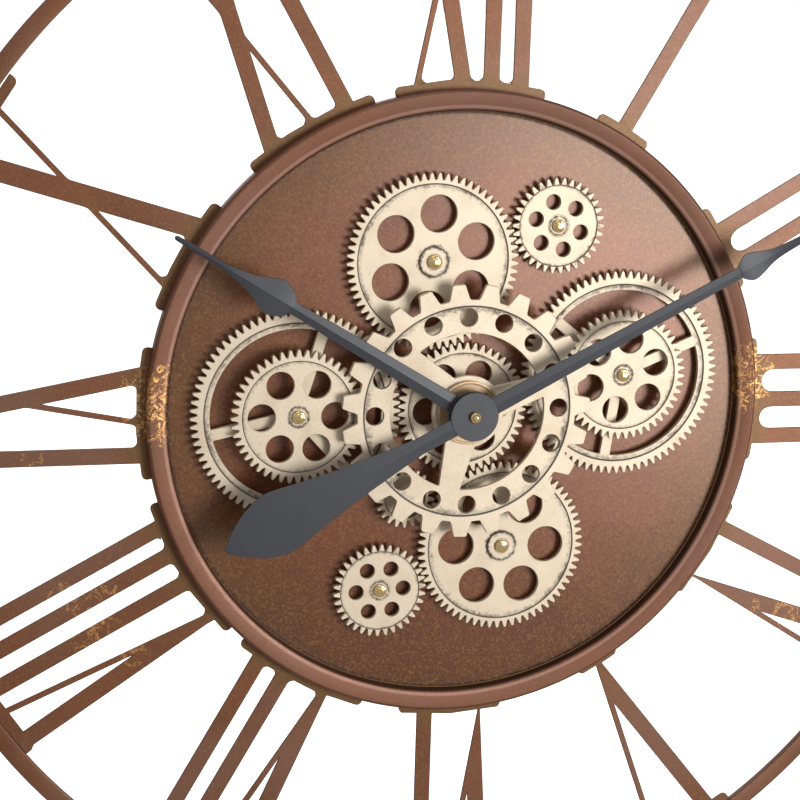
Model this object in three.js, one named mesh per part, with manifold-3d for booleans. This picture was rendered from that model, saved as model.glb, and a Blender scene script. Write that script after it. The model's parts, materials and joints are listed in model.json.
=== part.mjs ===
// Skeleton wall clock: a metal drum with a train of moving gears in front of its dial,
// open Roman numerals around the drum and a flat hoop that joins their outer ends.
//
// Units are millimetres and degrees. The clock is laid out as its viewer sees it, with x to
// the right, y up and z from the wall (z = 0) towards the viewer. The last group stands it
// up with +Z up and the dial facing -Y, and puts the origin where the clock hangs.
import * as THREE from 'three';
import { mergeVertices } from 'three/addons/utils/BufferGeometryUtils.js';
import Module from 'manifold-3d';

const wasm = await Module();
wasm.setup();

// Clearance between pieces that seat on, or turn in, each other
const GAP = 0.3;

// How far a cut runs past the face that it opens, and a joined shape into its neighbour
const OVERRUN = 1;

// Sides of the turned pieces, from screws up to the hub of a hand
const SCREW_SIDES = 6;
const AXLE_SIDES = 8;
const SHAFT_SIDES = 10;
const ROUND_SIDES = 12;
const SLEEVE_SIDES = 16;
const HUB_SIDES = 24;

// Wall side
const HANG_HEIGHT = 190;
const WALL_SPACE = 3;
const HANGER_WIDTH = 44;
const HANGER_SHEET = 1.5;
const HANGER_ABOVE = 16;
const HANGER_BELOW = 30;
const HANGER_FOOT = 8;
const KEYHOLE_R = 5;
const KEYHOLE_SLOT = 5;
const KEYHOLE_REACH = 11;
const KEYHOLE_BELOW_ORIGIN = 4;
const HANGER_WINDOW_MARGIN = 7;
const BUMPER_R = 9;
const BUMPER_X = 118;
const BUMPER_DROP = 135;

// Drum
const DRUM_DEPTH = 52;
const DRUM_FACETS = 48;
const BEZEL_R = 224;
const BEZEL_FACE = 14.6;
const BEZEL_SLOPE = 2.2;
const BEZEL_SKIRT = 8.8;
const BEZEL_SHEET = 1.7;
const BEZEL_EDGE = 1.6;
const BEZEL_CORNER = 0.4;
const SHELL_WALL = 1.5;
const SHELL_FLANGE = 14;
const SHELL_BEAD = 8;
const DIAL_RECESS = 11.2;
const DIAL_SHEET = 1.5;
const COVER_SHEET = 1.2;
const COVER_SCREW_COUNT = 3;
const COVER_SCREW_PHASE = 60;
const COVER_SCREW_INSET = 8;
const COVER_SCREW_R = 1.7;
const COVER_SCREW_HEAD_R = 3.6;
const COVER_SCREW_HEAD = 1.6;
const COVER_SCREW_LENGTH = 9;
const COVER_WINDOW_MARGIN = 4;
const HOLDER_WINDOW_MARGIN = 2;

// Hoop and numerals
const HOOP_R = 400;
const HOOP_BAND = 12;
const HOOP_DEPTH = 6;
const NUMERAL_SHEET = 2;
const NUMERAL_BELOW_SKIRT = 0.5;
const TAB_BEYOND_BEZEL = 6.2;
const TAB_CHAMFER = 2.5;
const FOOT_DEPTH = 7.7;
const SLOT_FLOOR = 1.5;
const SLOT_CORNER = 3.2;
const TRIM = 20;
const THICK_STROKE = 11.5;
const THIN_STROKE = 4;
const VEE_THICK = 12.2;
const VEE_THIN = 4.2;
const APEX_DEPTH = 8;

// Gear train
const MODULE = 1.9;
const TOOTH_DEPTH = 5;
const PINION_REACH = 1.7;
const WHEEL_REACH = 0.3;
const LARGEST_PINION = 50;
const GEAR_SHEET = 4;
const GEAR_STANDOFF = 3.7;
const LEVEL_SPACE = 3.1;
const AXLE_R = 3.5;
const AXLE_SHANK_R = 2.6;
const AXLE_SHOULDER_R = 8;
const AXLE_HEAD_R = 4.7;
const AXLE_HEAD = 2.6;
const AXLE_HEAD_CHAMFER = 1.1;
const AXLE_TAIL = 0.7;
const WHEEL_BOSS_R = 10.4;
const WHEEL_BOSS = 1;
const RING_BAND = 8.7;

// Round holes in the gears: their ring and their size as shares of the pitch radius
const WHEEL_HOLES = { count: 6, ring: 0.546, hole: 0.214, facets: 10 };
const SMALL_HOLES = { count: 6, ring: 0.536, hole: 0.17, facets: 8 };
const FRONT_HOLES = { count: 6, ring: 0.566, hole: 0.215, facets: 9 };
const CENTRE_HOLES = { count: 6, ring: 0.581, hole: 0.215, facets: 9 };
const RING_ARMS = { count: 3, rootR: 14, rootWidth: 7.8, endWidth: 7.8 };

// Centre wheel, cog ring and the sleeve that they turn on
const SLEEVE_R = 8;
const SLEEVE_FLANGE_R = 14;
const SPACER_R = 15;
const COG_TEETH = 23;
const COG_TIP_R = 90.7;
const COG_ROOT_R = 79.8;
const COG_TIP_WIDTH = 9.07;
const COG_BASE_WIDTH = 15;
const COG_PHASE = 2.2;
const COG_INNER_R = 56.3;
const COG_SHEET = 4;
const COG_SPACE = 3.2;
const COG_BAND = COG_ROOT_R - COG_INNER_R;
const COG_HOLES = {
  count: 16, ringR: COG_INNER_R + 0.464 * COG_BAND, holeR: 0.279 * COG_BAND, phase: 1.3, facets: 8,
};
const COG_ARMS = { count: 3, phase: 18, rootR: 26, rootWidth: 22, endWidth: 15.8 };
const COLLAR_R = 22.6;
const COLLAR_HEIGHT = 2.7;
const NUT_R = 11;
const NUT_HEIGHT = 2.5;

// Hands
const HAND_SHEET = 2;
const HAND_EDGE = 1;
const HAND_HUB_R = 17.2;
const HOUR_STANDOFF = 9.6;
const HAND_SPACE = 3.6;
const MINUTE_REACH = 310;
const HOUR_REACH = 243.8;
const TAIL_REACH = 195.8;
const HAND_NECK = 12.8;
const MINUTE_DIRECTION = 27.3;
const HOUR_DIRECTION = 149;
const HOUR_TUBE_R = 2.6;
const HOUR_TUBE_PROUD = 0.6;
const MINUTE_SHAFT_R = 1.6;
const CAP_R = 3.9;
const CAP_HEIGHT = 5.3;
const CAP_ROUND = 1.4;
const CAP_CROWN = 0.3;
const CAP_CROWN_SHARE = 0.75;

// Edges of the hands as [distance from the axis, half width], in shares of the hand's reach
const LEAF_EDGE = [
  [1, 0.0036], [0.9704, 0.0332], [0.9346, 0.0613], [0.8784, 0.094], [0.8018, 0.1175],
  [0.7457, 0.1124], [0.6537, 0.0935], [0.5312, 0.0705], [0.383, 0.0511], [0.2247, 0.0312],
];
const MINUTE_SPADE_EDGE = [
  [0.7023, 0.0137], [0.7097, 0.0213], [0.7226, 0.03], [0.7355, 0.0326], [0.7565, 0.0274],
  [0.7806, 0.0184], [0.8097, 0.0126], [0.8645, 0.0094], [1, 0.0048],
];
const HOUR_SHAFT_EDGE = [[0.4922, 0.0221], [0.5701, 0.0185]];
const HOUR_SPADE_EDGE = [
  [0.6169, 0.0201], [0.6259, 0.0324], [0.6399, 0.0418], [0.6645, 0.0521], [0.6891, 0.0505],
  [0.724, 0.0361], [0.767, 0.0217], [0.8244, 0.0119], [0.8778, 0.009], [0.9311, 0.009],
  [1, 0.0066],
];

// Time movement, gear motor and their batteries
const MOVEMENT_SIDE = 56;
const MOVEMENT_DEPTH = 16;
const BUSHING_R = 4.2;
const BUSHING_PROUD = 1.5;
const BAY_EDGE = 2;
const CASE_CORNER = 4;
const BATTERY_R = 7.1;
const BATTERY_LENGTH = 50.5;
const BATTERY_NUB_R = 2.7;
const BATTERY_NUB = 1.5;
const BATTERY_PROUD = 1;
const KNOB_R = 7;
const KNOB_HEIGHT = 4;
const KNOB_X = 13;
const KNOB_Y = 8;
const KNOB_STEM_R = 1.5;
const KNOB_STEM = 4;
const MOTOR_WIDTH = 44;
const MOTOR_HEIGHT = 32;
const MOTOR_DEPTH = 20;
const MOTOR_SHAFT_R = 2;
const MOTOR_SHAFT_PROUD = 0.7;
const MOTOR_SOCKET = 6;
const PINION_RIM = 1.8;
const PINION_BOSS = 2;
const HOLDER_X = 110;
const HOLDER_Y = -60;
const HOLDER_WIDTH = 68;
const HOLDER_DEPTH = 17;
const HOLDER_WALL = 1.4;
const SWITCH_TRAVEL = 4;
const SWITCH_WIDTH = 3;
const SWITCH_LENGTH = 5.4;
const SWITCH_HEIGHT = 6.5;
const SWITCH_DEPTH = 3.5;

// Heights above the wall, worked out from the sizes above
const COVER_FRONT = WALL_SPACE + COVER_SHEET;
const RIM_FRONT = DRUM_DEPTH;
const DIAL_FRONT = RIM_FRONT - DIAL_RECESS;
const DIAL_BACK = DIAL_FRONT - DIAL_SHEET;
const SKIRT_BACK = RIM_FRONT - BEZEL_SKIRT;
const NUMERAL_FRONT = SKIRT_BACK - NUMERAL_BELOW_SKIRT;
const NUMERAL_BACK = NUMERAL_FRONT - NUMERAL_SHEET;
const GEAR_BACK = DIAL_FRONT + GEAR_STANDOFF;
const GEAR_FRONT = GEAR_BACK + GEAR_SHEET;
const UPPER_BACK = GEAR_FRONT + LEVEL_SPACE;
const UPPER_FRONT = UPPER_BACK + GEAR_SHEET;
const COG_BACK = UPPER_FRONT + COG_SPACE;
const COG_FRONT = COG_BACK + COG_SHEET;
const COLLAR_FRONT = COG_FRONT + GAP + COLLAR_HEIGHT;
const SLEEVE_FRONT = COLLAR_FRONT + GAP;
const NUT_FRONT = SLEEVE_FRONT + GAP + NUT_HEIGHT;
const HOUR_BACK = COG_FRONT + HOUR_STANDOFF;
const HOUR_FRONT = HOUR_BACK + HAND_SHEET;
const MINUTE_BACK = HOUR_FRONT + HAND_SPACE;
const MINUTE_FRONT = MINUTE_BACK + HAND_SHEET;

// Radii, worked out from the sizes above
const BEZEL_INNER_R = BEZEL_R - BEZEL_FACE;
const DRUM_R = BEZEL_INNER_R + BEZEL_SHEET + GAP + SHELL_WALL;
const DIAL_R = DRUM_R - SHELL_WALL - GAP;
const TAB_INNER_R = DRUM_R + GAP;
const TAB_R = BEZEL_R + TAB_BEYOND_BEZEL;
const HOOP_INNER_R = HOOP_R - HOOP_BAND;
const FOOT_R = HOOP_INNER_R - GAP;
const AXLE_BORE_R = AXLE_R + GAP;
const SLEEVE_BORE_R = BUSHING_R + GAP;
const BUSHING_BORE_R = HOUR_TUBE_R + GAP;

const paint = (color, roughness, metalness) => (
  () => new THREE.MeshStandardMaterial({ color, roughness, metalness })
);
const COPPER = paint(0x6f4434, 0.38, 0.6);
const GEAR_GOLD = paint(0xd9c9a8, 0.42, 0.75);
const COLLAR_COPPER = paint(0x8a5a44, 0.4, 0.7);
const SLATE = paint(0x55565c, 0.5, 0.4);
const BRASS = paint(0xc9a45c, 0.3, 0.9);
const STEEL = paint(0xa9abae, 0.35, 0.9);
const BLACK_PLASTIC = paint(0x1d1d1f, 0.55, 0);
const DARK_STEEL = paint(0x2c2a2a, 0.5, 0.5);
const WHITE_PLASTIC = paint(0xd8d5cc, 0.5, 0);
const RUBBER = paint(0x26211f, 0.95, 0);
const BATTERY_JACKET = paint(0x5c6a58, 0.4, 0.2);

// Angles and points

const radians = (degrees) => degrees * Math.PI / 180;

function polar(radius, degrees) {
  return new THREE.Vector2(radius * Math.cos(radians(degrees)), radius * Math.sin(radians(degrees)));
}

function circle(radius, facets, x = 0, y = 0, start = 0) {
  const points = [];
  for (let i = 0; i < facets; i++) {
    const spoke = polar(radius, start + i * 360 / facets);
    points.push(new THREE.Vector2(x + spoke.x, y + spoke.y));
  }
  return points;
}

function arc(radius, from, to, steps) {
  const points = [];
  for (let i = 0; i <= steps; i++) {
    points.push(polar(radius, from + (to - from) * i / steps));
  }
  return points;
}

function rectangle(width, height, x = 0, y = 0) {
  return [[-1, -1], [1, -1], [1, 1], [-1, 1]].map(
    ([sx, sy]) => new THREE.Vector2(x + sx * width / 2, y + sy * height / 2),
  );
}

function roundedRectangle(width, height, radius) {
  const shape = new THREE.Shape();
  const x = width / 2;
  const y = height / 2;
  shape.moveTo(-x + radius, -y);
  shape.lineTo(x - radius, -y);
  shape.absarc(x - radius, -y + radius, radius, -Math.PI / 2, 0);
  shape.absarc(x - radius, y - radius, radius, 0, Math.PI / 2);
  shape.absarc(-x + radius, y - radius, radius, Math.PI / 2, Math.PI);
  shape.absarc(-x + radius, -y + radius, radius, Math.PI, 1.5 * Math.PI);
  return new THREE.Shape(shape.getPoints(2).slice(0, -1));
}

// Closed solids, and the cuts and joins between them

function toSolid(geometry) {
  const bare = new THREE.BufferGeometry();
  bare.setAttribute('position', geometry.getAttribute('position'));
  bare.setIndex(geometry.getIndex());
  const welded = mergeVertices(bare, 1e-4);
  const corners = [];
  for (let i = 0; i < welded.index.count; i += 3) {
    const [a, b, c] = [0, 1, 2].map((k) => welded.index.getX(i + k));
    if (a !== b && b !== c && c !== a) {
      corners.push(a, b, c);
    }
  }
  return new wasm.Manifold(new wasm.Mesh({
    numProp: 3,
    vertProperties: new Float32Array(welded.attributes.position.array),
    triVerts: new Uint32Array(corners),
  }));
}

function toGeometry(solid) {
  const mesh = solid.getMesh();
  const geometry = new THREE.BufferGeometry();
  geometry.setAttribute('position', new THREE.BufferAttribute(mesh.vertProperties, 3));
  geometry.setIndex(new THREE.BufferAttribute(mesh.triVerts, 1));
  geometry.computeVertexNormals();
  return geometry;
}

// A flat piece between two heights, from an outline and the outlines of its holes
function sheet(outline, holes, back, front) {
  const shape = new THREE.Shape(outline);
  shape.holes = holes.map((hole) => new THREE.Path(hole));
  const geometry = new THREE.ExtrudeGeometry(shape, { depth: front - back, bevelEnabled: false });
  return toSolid(geometry.translate(0, 0, back));
}

// A turned piece about z: its profile of [radius, height] points runs counterclockwise,
// and either starts and ends on the axis or closes on itself
function turned(profile, facets) {
  const onAxis = profile[0][0] === 0;
  const closed = onAxis ? profile : [...profile, profile[0]];
  const points = closed.map(([radius, height]) => new THREE.Vector2(radius, height));
  return toSolid(new THREE.LatheGeometry(points, facets).rotateX(Math.PI / 2));
}

function disc(radius, back, front, facets) {
  return turned([[0, back], [radius, back], [radius, front], [0, front]], facets);
}

function tube(outer, inner, back, front, facets) {
  return turned([[inner, back], [outer, back], [outer, front], [inner, front]], facets);
}

const pieces = new THREE.Group();

function piece(name, solid, material, x = 0, y = 0, turn = 0) {
  const mesh = new THREE.Mesh(toGeometry(solid), material());
  mesh.name = name;
  mesh.position.set(x, y, 0);
  mesh.rotation.z = radians(turn);
  pieces.add(mesh);
}

// Gear train: where each gear stands and how its teeth fall between its neighbour's

const pitchRadius = (teeth) => MODULE * teeth / 2;
const tipRadius = (teeth) => (
  pitchRadius(teeth) + (teeth > LARGEST_PINION ? WHEEL_REACH : PINION_REACH)
);

function meshedWith(driver, teeth, direction) {
  const distance = pitchRadius(driver.teeth) + pitchRadius(teeth);
  const step = polar(distance, direction);
  const driverShare = (direction - driver.phase) * driver.teeth / 360;
  const share = 0.5 - driverShare;
  return {
    teeth,
    x: driver.x + step.x,
    y: driver.y + step.y,
    phase: direction + 180 - share * 360 / teeth,
  };
}

const centreGear = { teeth: 48, x: 0, y: 0, phase: 4.76 };
const upperGear = meshedWith(centreGear, 65, 103.23);
const upperSmallGear = meshedWith(upperGear, 34, 15.47);
const lowerGear = meshedWith(centreGear, 65, -72.3);
const lowerSmallGear = meshedWith(lowerGear, 34, -161.67);
const rightRingGear = meshedWith(centreGear, 78, 10.96);
const leftRingGear = meshedWith(centreGear, 78, -178.97);
const drivePinion = meshedWith(lowerGear, 21, 152.5);
const rightFrontGear = { ...rightRingGear, teeth: 48, phase: 5.67 };
const leftFrontGear = { ...leftRingGear, teeth: 48, phase: 0.52 };

// Gear outlines

// The small teeth are straight-sided, each with one valley and one tip
function gearOutline(gear) {
  const tipR = tipRadius(gear.teeth);
  const step = 360 / gear.teeth;
  const points = [];
  for (let i = 0; i < gear.teeth; i++) {
    const angle = gear.phase + i * step;
    points.push(polar(tipR - TOOTH_DEPTH, angle - step / 2));
    points.push(polar(tipR, angle));
  }
  return points;
}

function holeRing({ count, ringR, holeR, phase, facets }) {
  const holes = [];
  for (let i = 0; i < count; i++) {
    const centre = polar(ringR, phase + i * 360 / count);
    holes.push(circle(holeR, facets, centre.x, centre.y, phase + i * 360 / count));
  }
  return holes;
}

function gearHoles(teeth, { ring, hole, ...pattern }, phase) {
  const radius = pitchRadius(teeth);
  return holeRing({ ...pattern, ringR: ring * radius, holeR: hole * radius, phase });
}

// Openings between straight arms that run from a hub to a rim
function armWindows({ count, phase, rootR, rootWidth, endWidth }, endR) {
  const rootHalf = Math.asin(rootWidth / 2 / rootR) * 180 / Math.PI;
  const endHalf = Math.asin(endWidth / 2 / endR) * 180 / Math.PI;
  const windows = [];
  for (let i = 0; i < count; i++) {
    const from = phase + i * 360 / count;
    const to = from + 360 / count;
    const rim = arc(endR, from + endHalf, to - endHalf, 7);
    const hub = arc(rootR, to - rootHalf, from + rootHalf, 3);
    windows.push([...rim, ...hub]);
  }
  return windows;
}

// A gear that turns on an axle: its sheet, raised boss and bore
function axleGear(gear, holes, back, bossR, bossTop) {
  const plate = sheet(gearOutline(gear), holes, back, back + GEAR_SHEET);
  const boss = disc(bossR, back + GEAR_SHEET / 2, bossTop, ROUND_SIDES);
  const bore = disc(AXLE_BORE_R, back - OVERRUN, bossTop + OVERRUN, AXLE_SIDES);
  return plate.add(boss).subtract(bore);
}

// A headed axle, fixed in the dial, with a shoulder behind the gear that it carries
function axle(gearTop) {
  const headBack = gearTop + GAP;
  const headFront = headBack + AXLE_HEAD;
  return turned([
    [0, DIAL_BACK - AXLE_TAIL],
    [AXLE_SHANK_R, DIAL_BACK - AXLE_TAIL],
    [AXLE_SHANK_R, DIAL_FRONT + GAP],
    [AXLE_SHOULDER_R, DIAL_FRONT + GAP],
    [AXLE_SHOULDER_R, GEAR_BACK - GAP],
    [AXLE_R, GEAR_BACK - GAP],
    [AXLE_R, headBack],
    [AXLE_HEAD_R, headBack],
    [AXLE_HEAD_R, headFront - AXLE_HEAD_CHAMFER],
    [AXLE_HEAD_R - AXLE_HEAD_CHAMFER, headFront],
    [0, headFront],
  ], AXLE_SIDES);
}

function buildGearTrain() {
  const bore = circle(AXLE_BORE_R, AXLE_SIDES);
  const wheelTop = GEAR_FRONT + WHEEL_BOSS;
  const stackTop = UPPER_BACK - GAP;

  const wheels = [
    ['upper', upperGear, 25],
    ['lower', lowerGear, -0.6],
  ];
  for (const [side, gear, phase] of wheels) {
    const holes = gearHoles(gear.teeth, WHEEL_HOLES, phase);
    const solid = axleGear(gear, holes, GEAR_BACK, WHEEL_BOSS_R, wheelTop);
    piece(`${side}_gear`, solid, GEAR_GOLD, gear.x, gear.y);
    piece(`${side}_axle`, axle(wheelTop), BRASS, gear.x, gear.y);
  }

  const smallGears = [
    ['upper', upperSmallGear, 44.5],
    ['lower', lowerSmallGear, 3],
  ];
  for (const [side, gear, phase] of smallGears) {
    const holes = [bore, ...gearHoles(gear.teeth, SMALL_HOLES, phase)];
    const solid = sheet(gearOutline(gear), holes, GEAR_BACK, GEAR_FRONT);
    piece(`${side}_small_gear`, solid, GEAR_GOLD, gear.x, gear.y);
    piece(`${side}_small_axle`, axle(GEAR_FRONT), BRASS, gear.x, gear.y);
  }

  const stacks = [
    ['left', leftRingGear, 72.5, leftFrontGear, 0.3],
    ['right', rightRingGear, 22, rightFrontGear, 20],
  ];
  for (const [side, ringGear, armPhase, frontGear, holePhase] of stacks) {
    const ringInnerR = tipRadius(ringGear.teeth) - TOOTH_DEPTH - RING_BAND;
    const windows = armWindows({ ...RING_ARMS, phase: armPhase }, ringInnerR);
    const ring = axleGear(ringGear, windows, GEAR_BACK, AXLE_SHOULDER_R, stackTop);
    const holes = [bore, ...gearHoles(frontGear.teeth, FRONT_HOLES, holePhase)];
    const front = sheet(gearOutline(frontGear), holes, UPPER_BACK, UPPER_FRONT);
    piece(`${side}_ring_gear`, ring, GEAR_GOLD, ringGear.x, ringGear.y);
    piece(`${side}_front_gear`, front, GEAR_GOLD, ringGear.x, ringGear.y);
    piece(`${side}_axle`, axle(UPPER_FRONT), BRASS, ringGear.x, ringGear.y);
  }
}

// The motor's pinion has a rim, a sunken web and a small boss on the motor's shaft
function buildDrive() {
  const { x, y, teeth } = drivePinion;
  const rimR = tipRadius(teeth) - TOOTH_DEPTH - PINION_RIM;
  const boreR = MOTOR_SHAFT_R + GAP;
  const bossR = boreR + PINION_BOSS;
  const web = GEAR_BACK + GEAR_SHEET / 3;
  const recess = tube(rimR, bossR, web, GEAR_FRONT + OVERRUN, SLEEVE_SIDES);
  const bore = disc(boreR, GEAR_BACK - OVERRUN, GEAR_FRONT + OVERRUN, SHAFT_SIDES);
  const pinion = sheet(gearOutline(drivePinion), [], GEAR_BACK, GEAR_FRONT);
  piece('drive_pinion', pinion.subtract(recess).subtract(bore), GEAR_GOLD, x, y);

  const caseFront = DIAL_BACK - GAP;
  const socketBack = caseFront - MOTOR_SOCKET;
  const motor = sheet(
    roundedRectangle(MOTOR_WIDTH, MOTOR_HEIGHT, CASE_CORNER).getPoints(), [],
    caseFront - MOTOR_DEPTH, caseFront,
  );
  const socket = disc(boreR, socketBack, caseFront + OVERRUN, SHAFT_SIDES);
  piece('gear_motor', motor.subtract(socket), BLACK_PLASTIC, x, y);
  const shaftFront = GEAR_FRONT + MOTOR_SHAFT_PROUD;
  const shaft = disc(MOTOR_SHAFT_R, socketBack + GAP, shaftFront, SHAFT_SIDES);
  piece('motor_shaft', shaft, STEEL, x, y);
}

// The centre gear, spacer, cog ring and collar turn together on a fixed sleeve
function buildCentreWheel() {
  const boreR = SLEEVE_R + GAP;
  const bore = circle(boreR, SLEEVE_SIDES);
  const round = gearHoles(centreGear.teeth, CENTRE_HOLES, centreGear.phase);
  const gear = sheet(gearOutline(centreGear), [bore, ...round], GEAR_BACK, GEAR_FRONT);
  piece('centre_gear', gear, GEAR_GOLD);

  const spacer = tube(SPACER_R, boreR, GEAR_FRONT + GAP, COG_BACK - GAP, SLEEVE_SIDES);
  piece('centre_spacer', spacer, DARK_STEEL);

  const outline = [];
  for (let i = 0; i < COG_TEETH; i++) {
    const angle = COG_PHASE + i * 360 / COG_TEETH;
    const baseHalf = Math.asin(COG_BASE_WIDTH / 2 / COG_ROOT_R) * 180 / Math.PI;
    const tipHalf = Math.asin(COG_TIP_WIDTH / 2 / COG_TIP_R) * 180 / Math.PI;
    outline.push(polar(COG_ROOT_R, angle - baseHalf), polar(COG_TIP_R, angle - tipHalf));
    outline.push(polar(COG_TIP_R, angle + tipHalf), polar(COG_ROOT_R, angle + baseHalf));
  }
  const holes = [bore, ...holeRing(COG_HOLES), ...armWindows(COG_ARMS, COG_INNER_R)];
  piece('cog_ring', sheet(outline, holes, COG_BACK, COG_FRONT), GEAR_GOLD);

  const collar = sheet(circle(COLLAR_R, HUB_SIDES), [bore], COG_FRONT + GAP, COLLAR_FRONT);
  piece('hub_collar', collar, COLLAR_COPPER);

  piece('centre_sleeve', turned([
    [SLEEVE_BORE_R, DIAL_FRONT + GAP],
    [SLEEVE_FLANGE_R, DIAL_FRONT + GAP],
    [SLEEVE_FLANGE_R, GEAR_BACK - GAP],
    [SLEEVE_R, GEAR_BACK - GAP],
    [SLEEVE_R, SLEEVE_FRONT],
    [SLEEVE_BORE_R, SLEEVE_FRONT],
  ], SLEEVE_SIDES), STEEL);
  const nutBore = circle(SLEEVE_BORE_R, ROUND_SIDES);
  const nut = sheet(circle(NUT_R, 6), [nutBore], SLEEVE_FRONT + GAP, NUT_FRONT);
  piece('sleeve_nut', nut, BRASS);
}

// Hands: a flat back, low side walls and a front folded along a ridge. A station is
// [distance from the axis, half width, ridge height]
function blade(stations, back) {
  const corners = [];
  for (const [distance, half, ridge] of stations) {
    corners.push(distance, half, back, distance, -half, back);
    corners.push(distance, -half, back + HAND_EDGE, distance, 0, back + HAND_EDGE + ridge);
    corners.push(distance, half, back + HAND_EDGE);
  }
  const faces = [0, 1, 2, 0, 2, 3, 0, 3, 4];
  const last = (stations.length - 1) * 5;
  faces.push(last, last + 2, last + 1, last, last + 3, last + 2, last, last + 4, last + 3);
  for (let i = 0; i < last; i += 5) {
    for (let k = 0; k < 5; k++) {
      const next = (k + 1) % 5;
      faces.push(i + k, i + 5 + k, i + 5 + next, i + k, i + 5 + next, i + next);
    }
  }
  const geometry = new THREE.BufferGeometry();
  geometry.setAttribute('position', new THREE.Float32BufferAttribute(corners, 3));
  geometry.setIndex(faces);
  return toSolid(geometry);
}

// A smooth edge through points that are given in shares of the hand's reach
function curvedEdge(points, reach, steps) {
  const curve = new THREE.SplineCurve(
    points.map(([x, y]) => new THREE.Vector2(x * reach, y * reach)),
  );
  return curve.getPoints(steps).map(({ x, y }) => [x, y]);
}

function buildHands() {
  const ridge = HAND_SHEET - HAND_EDGE;
  const hub = (back, boreR) => tube(HAND_HUB_R, boreR, back, back + HAND_SHEET, HUB_SIDES);
  const bore = (radius, back) => (
    disc(radius, back - OVERRUN, back + HAND_SHEET + OVERRUN, SHAFT_SIDES)
  );
  const neck = [-1, 1].map((side) => [side * HAND_HUB_R / 2, HAND_NECK / 2, ridge]);

  // The tail's fold fades towards its end
  const fade = (distance) => Math.max(0.3, 1 - 1.22 * distance / TAIL_REACH);
  const leaf = curvedEdge(LEAF_EDGE, TAIL_REACH, 11);
  const minuteSpade = curvedEdge(MINUTE_SPADE_EDGE, MINUTE_REACH, 10);
  const minuteStations = [
    ...leaf.map(([distance, half]) => [-distance, half, ridge * fade(distance)]),
    ...neck,
    ...minuteSpade.map(([distance, half]) => [distance, half, ridge]),
  ];
  const minuteBoreR = MINUTE_SHAFT_R + GAP;
  const minuteHand = blade(minuteStations, MINUTE_BACK).add(hub(MINUTE_BACK, minuteBoreR));
  const minuteBore = bore(minuteBoreR, MINUTE_BACK);
  piece('minute_hand', minuteHand.subtract(minuteBore), SLATE, 0, 0, MINUTE_DIRECTION);

  const hourShaft = HOUR_SHAFT_EDGE.map((point) => point.map((share) => share * HOUR_REACH));
  const hourSpade = curvedEdge(HOUR_SPADE_EDGE, HOUR_REACH, 11);
  const hourStations = [
    ...neck,
    ...[...hourShaft, ...hourSpade].map(([distance, half]) => [distance, half, ridge]),
  ];
  const hourBoreR = HOUR_TUBE_R + GAP;
  const hourHand = blade(hourStations, HOUR_BACK).add(hub(HOUR_BACK, hourBoreR));
  const hourBore = bore(hourBoreR, HOUR_BACK);
  piece('hour_hand', hourHand.subtract(hourBore), SLATE, 0, 0, HOUR_DIRECTION);

  const tubeBack = COG_BACK;
  const shaftFront = MINUTE_FRONT + CAP_HEIGHT / 2;
  const tubeFront = HOUR_FRONT + HOUR_TUBE_PROUD;
  const hourTube = tube(HOUR_TUBE_R, minuteBoreR, tubeBack, tubeFront, SHAFT_SIDES);
  piece('hour_tube', hourTube, BRASS);
  piece('minute_shaft', disc(MINUTE_SHAFT_R, tubeBack, shaftFront, SHAFT_SIDES), STEEL);
  const capFront = MINUTE_FRONT + CAP_HEIGHT;
  piece('hand_cap', turned([
    [0, shaftFront + GAP],
    [minuteBoreR, shaftFront + GAP],
    [minuteBoreR, MINUTE_FRONT + GAP],
    [CAP_R, MINUTE_FRONT + GAP],
    [CAP_R, capFront - CAP_ROUND],
    [CAP_R * CAP_CROWN_SHARE, capFront - CAP_CROWN],
    [0, capFront],
  ], SHAFT_SIDES), BRASS);
}

// Numerals: each is laid out along its own centre line, with u outwards from the clock's
// axis and v counterclockwise, and read from the drum with its base inwards

const upright = (v) => ({ kind: 'upright', v });
// A cross has its thick stroke at v - spread on the drum, and its thin one at v + spread
const cross = (v, spread, slant, thick = THICK_STROKE) => (
  { kind: 'cross', v, spread, slant, thick }
);
const vee = (v, leftSlant, rightSlant, apex = 2) => (
  { kind: 'vee', v, leftSlant, rightSlant, apex }
);

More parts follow.
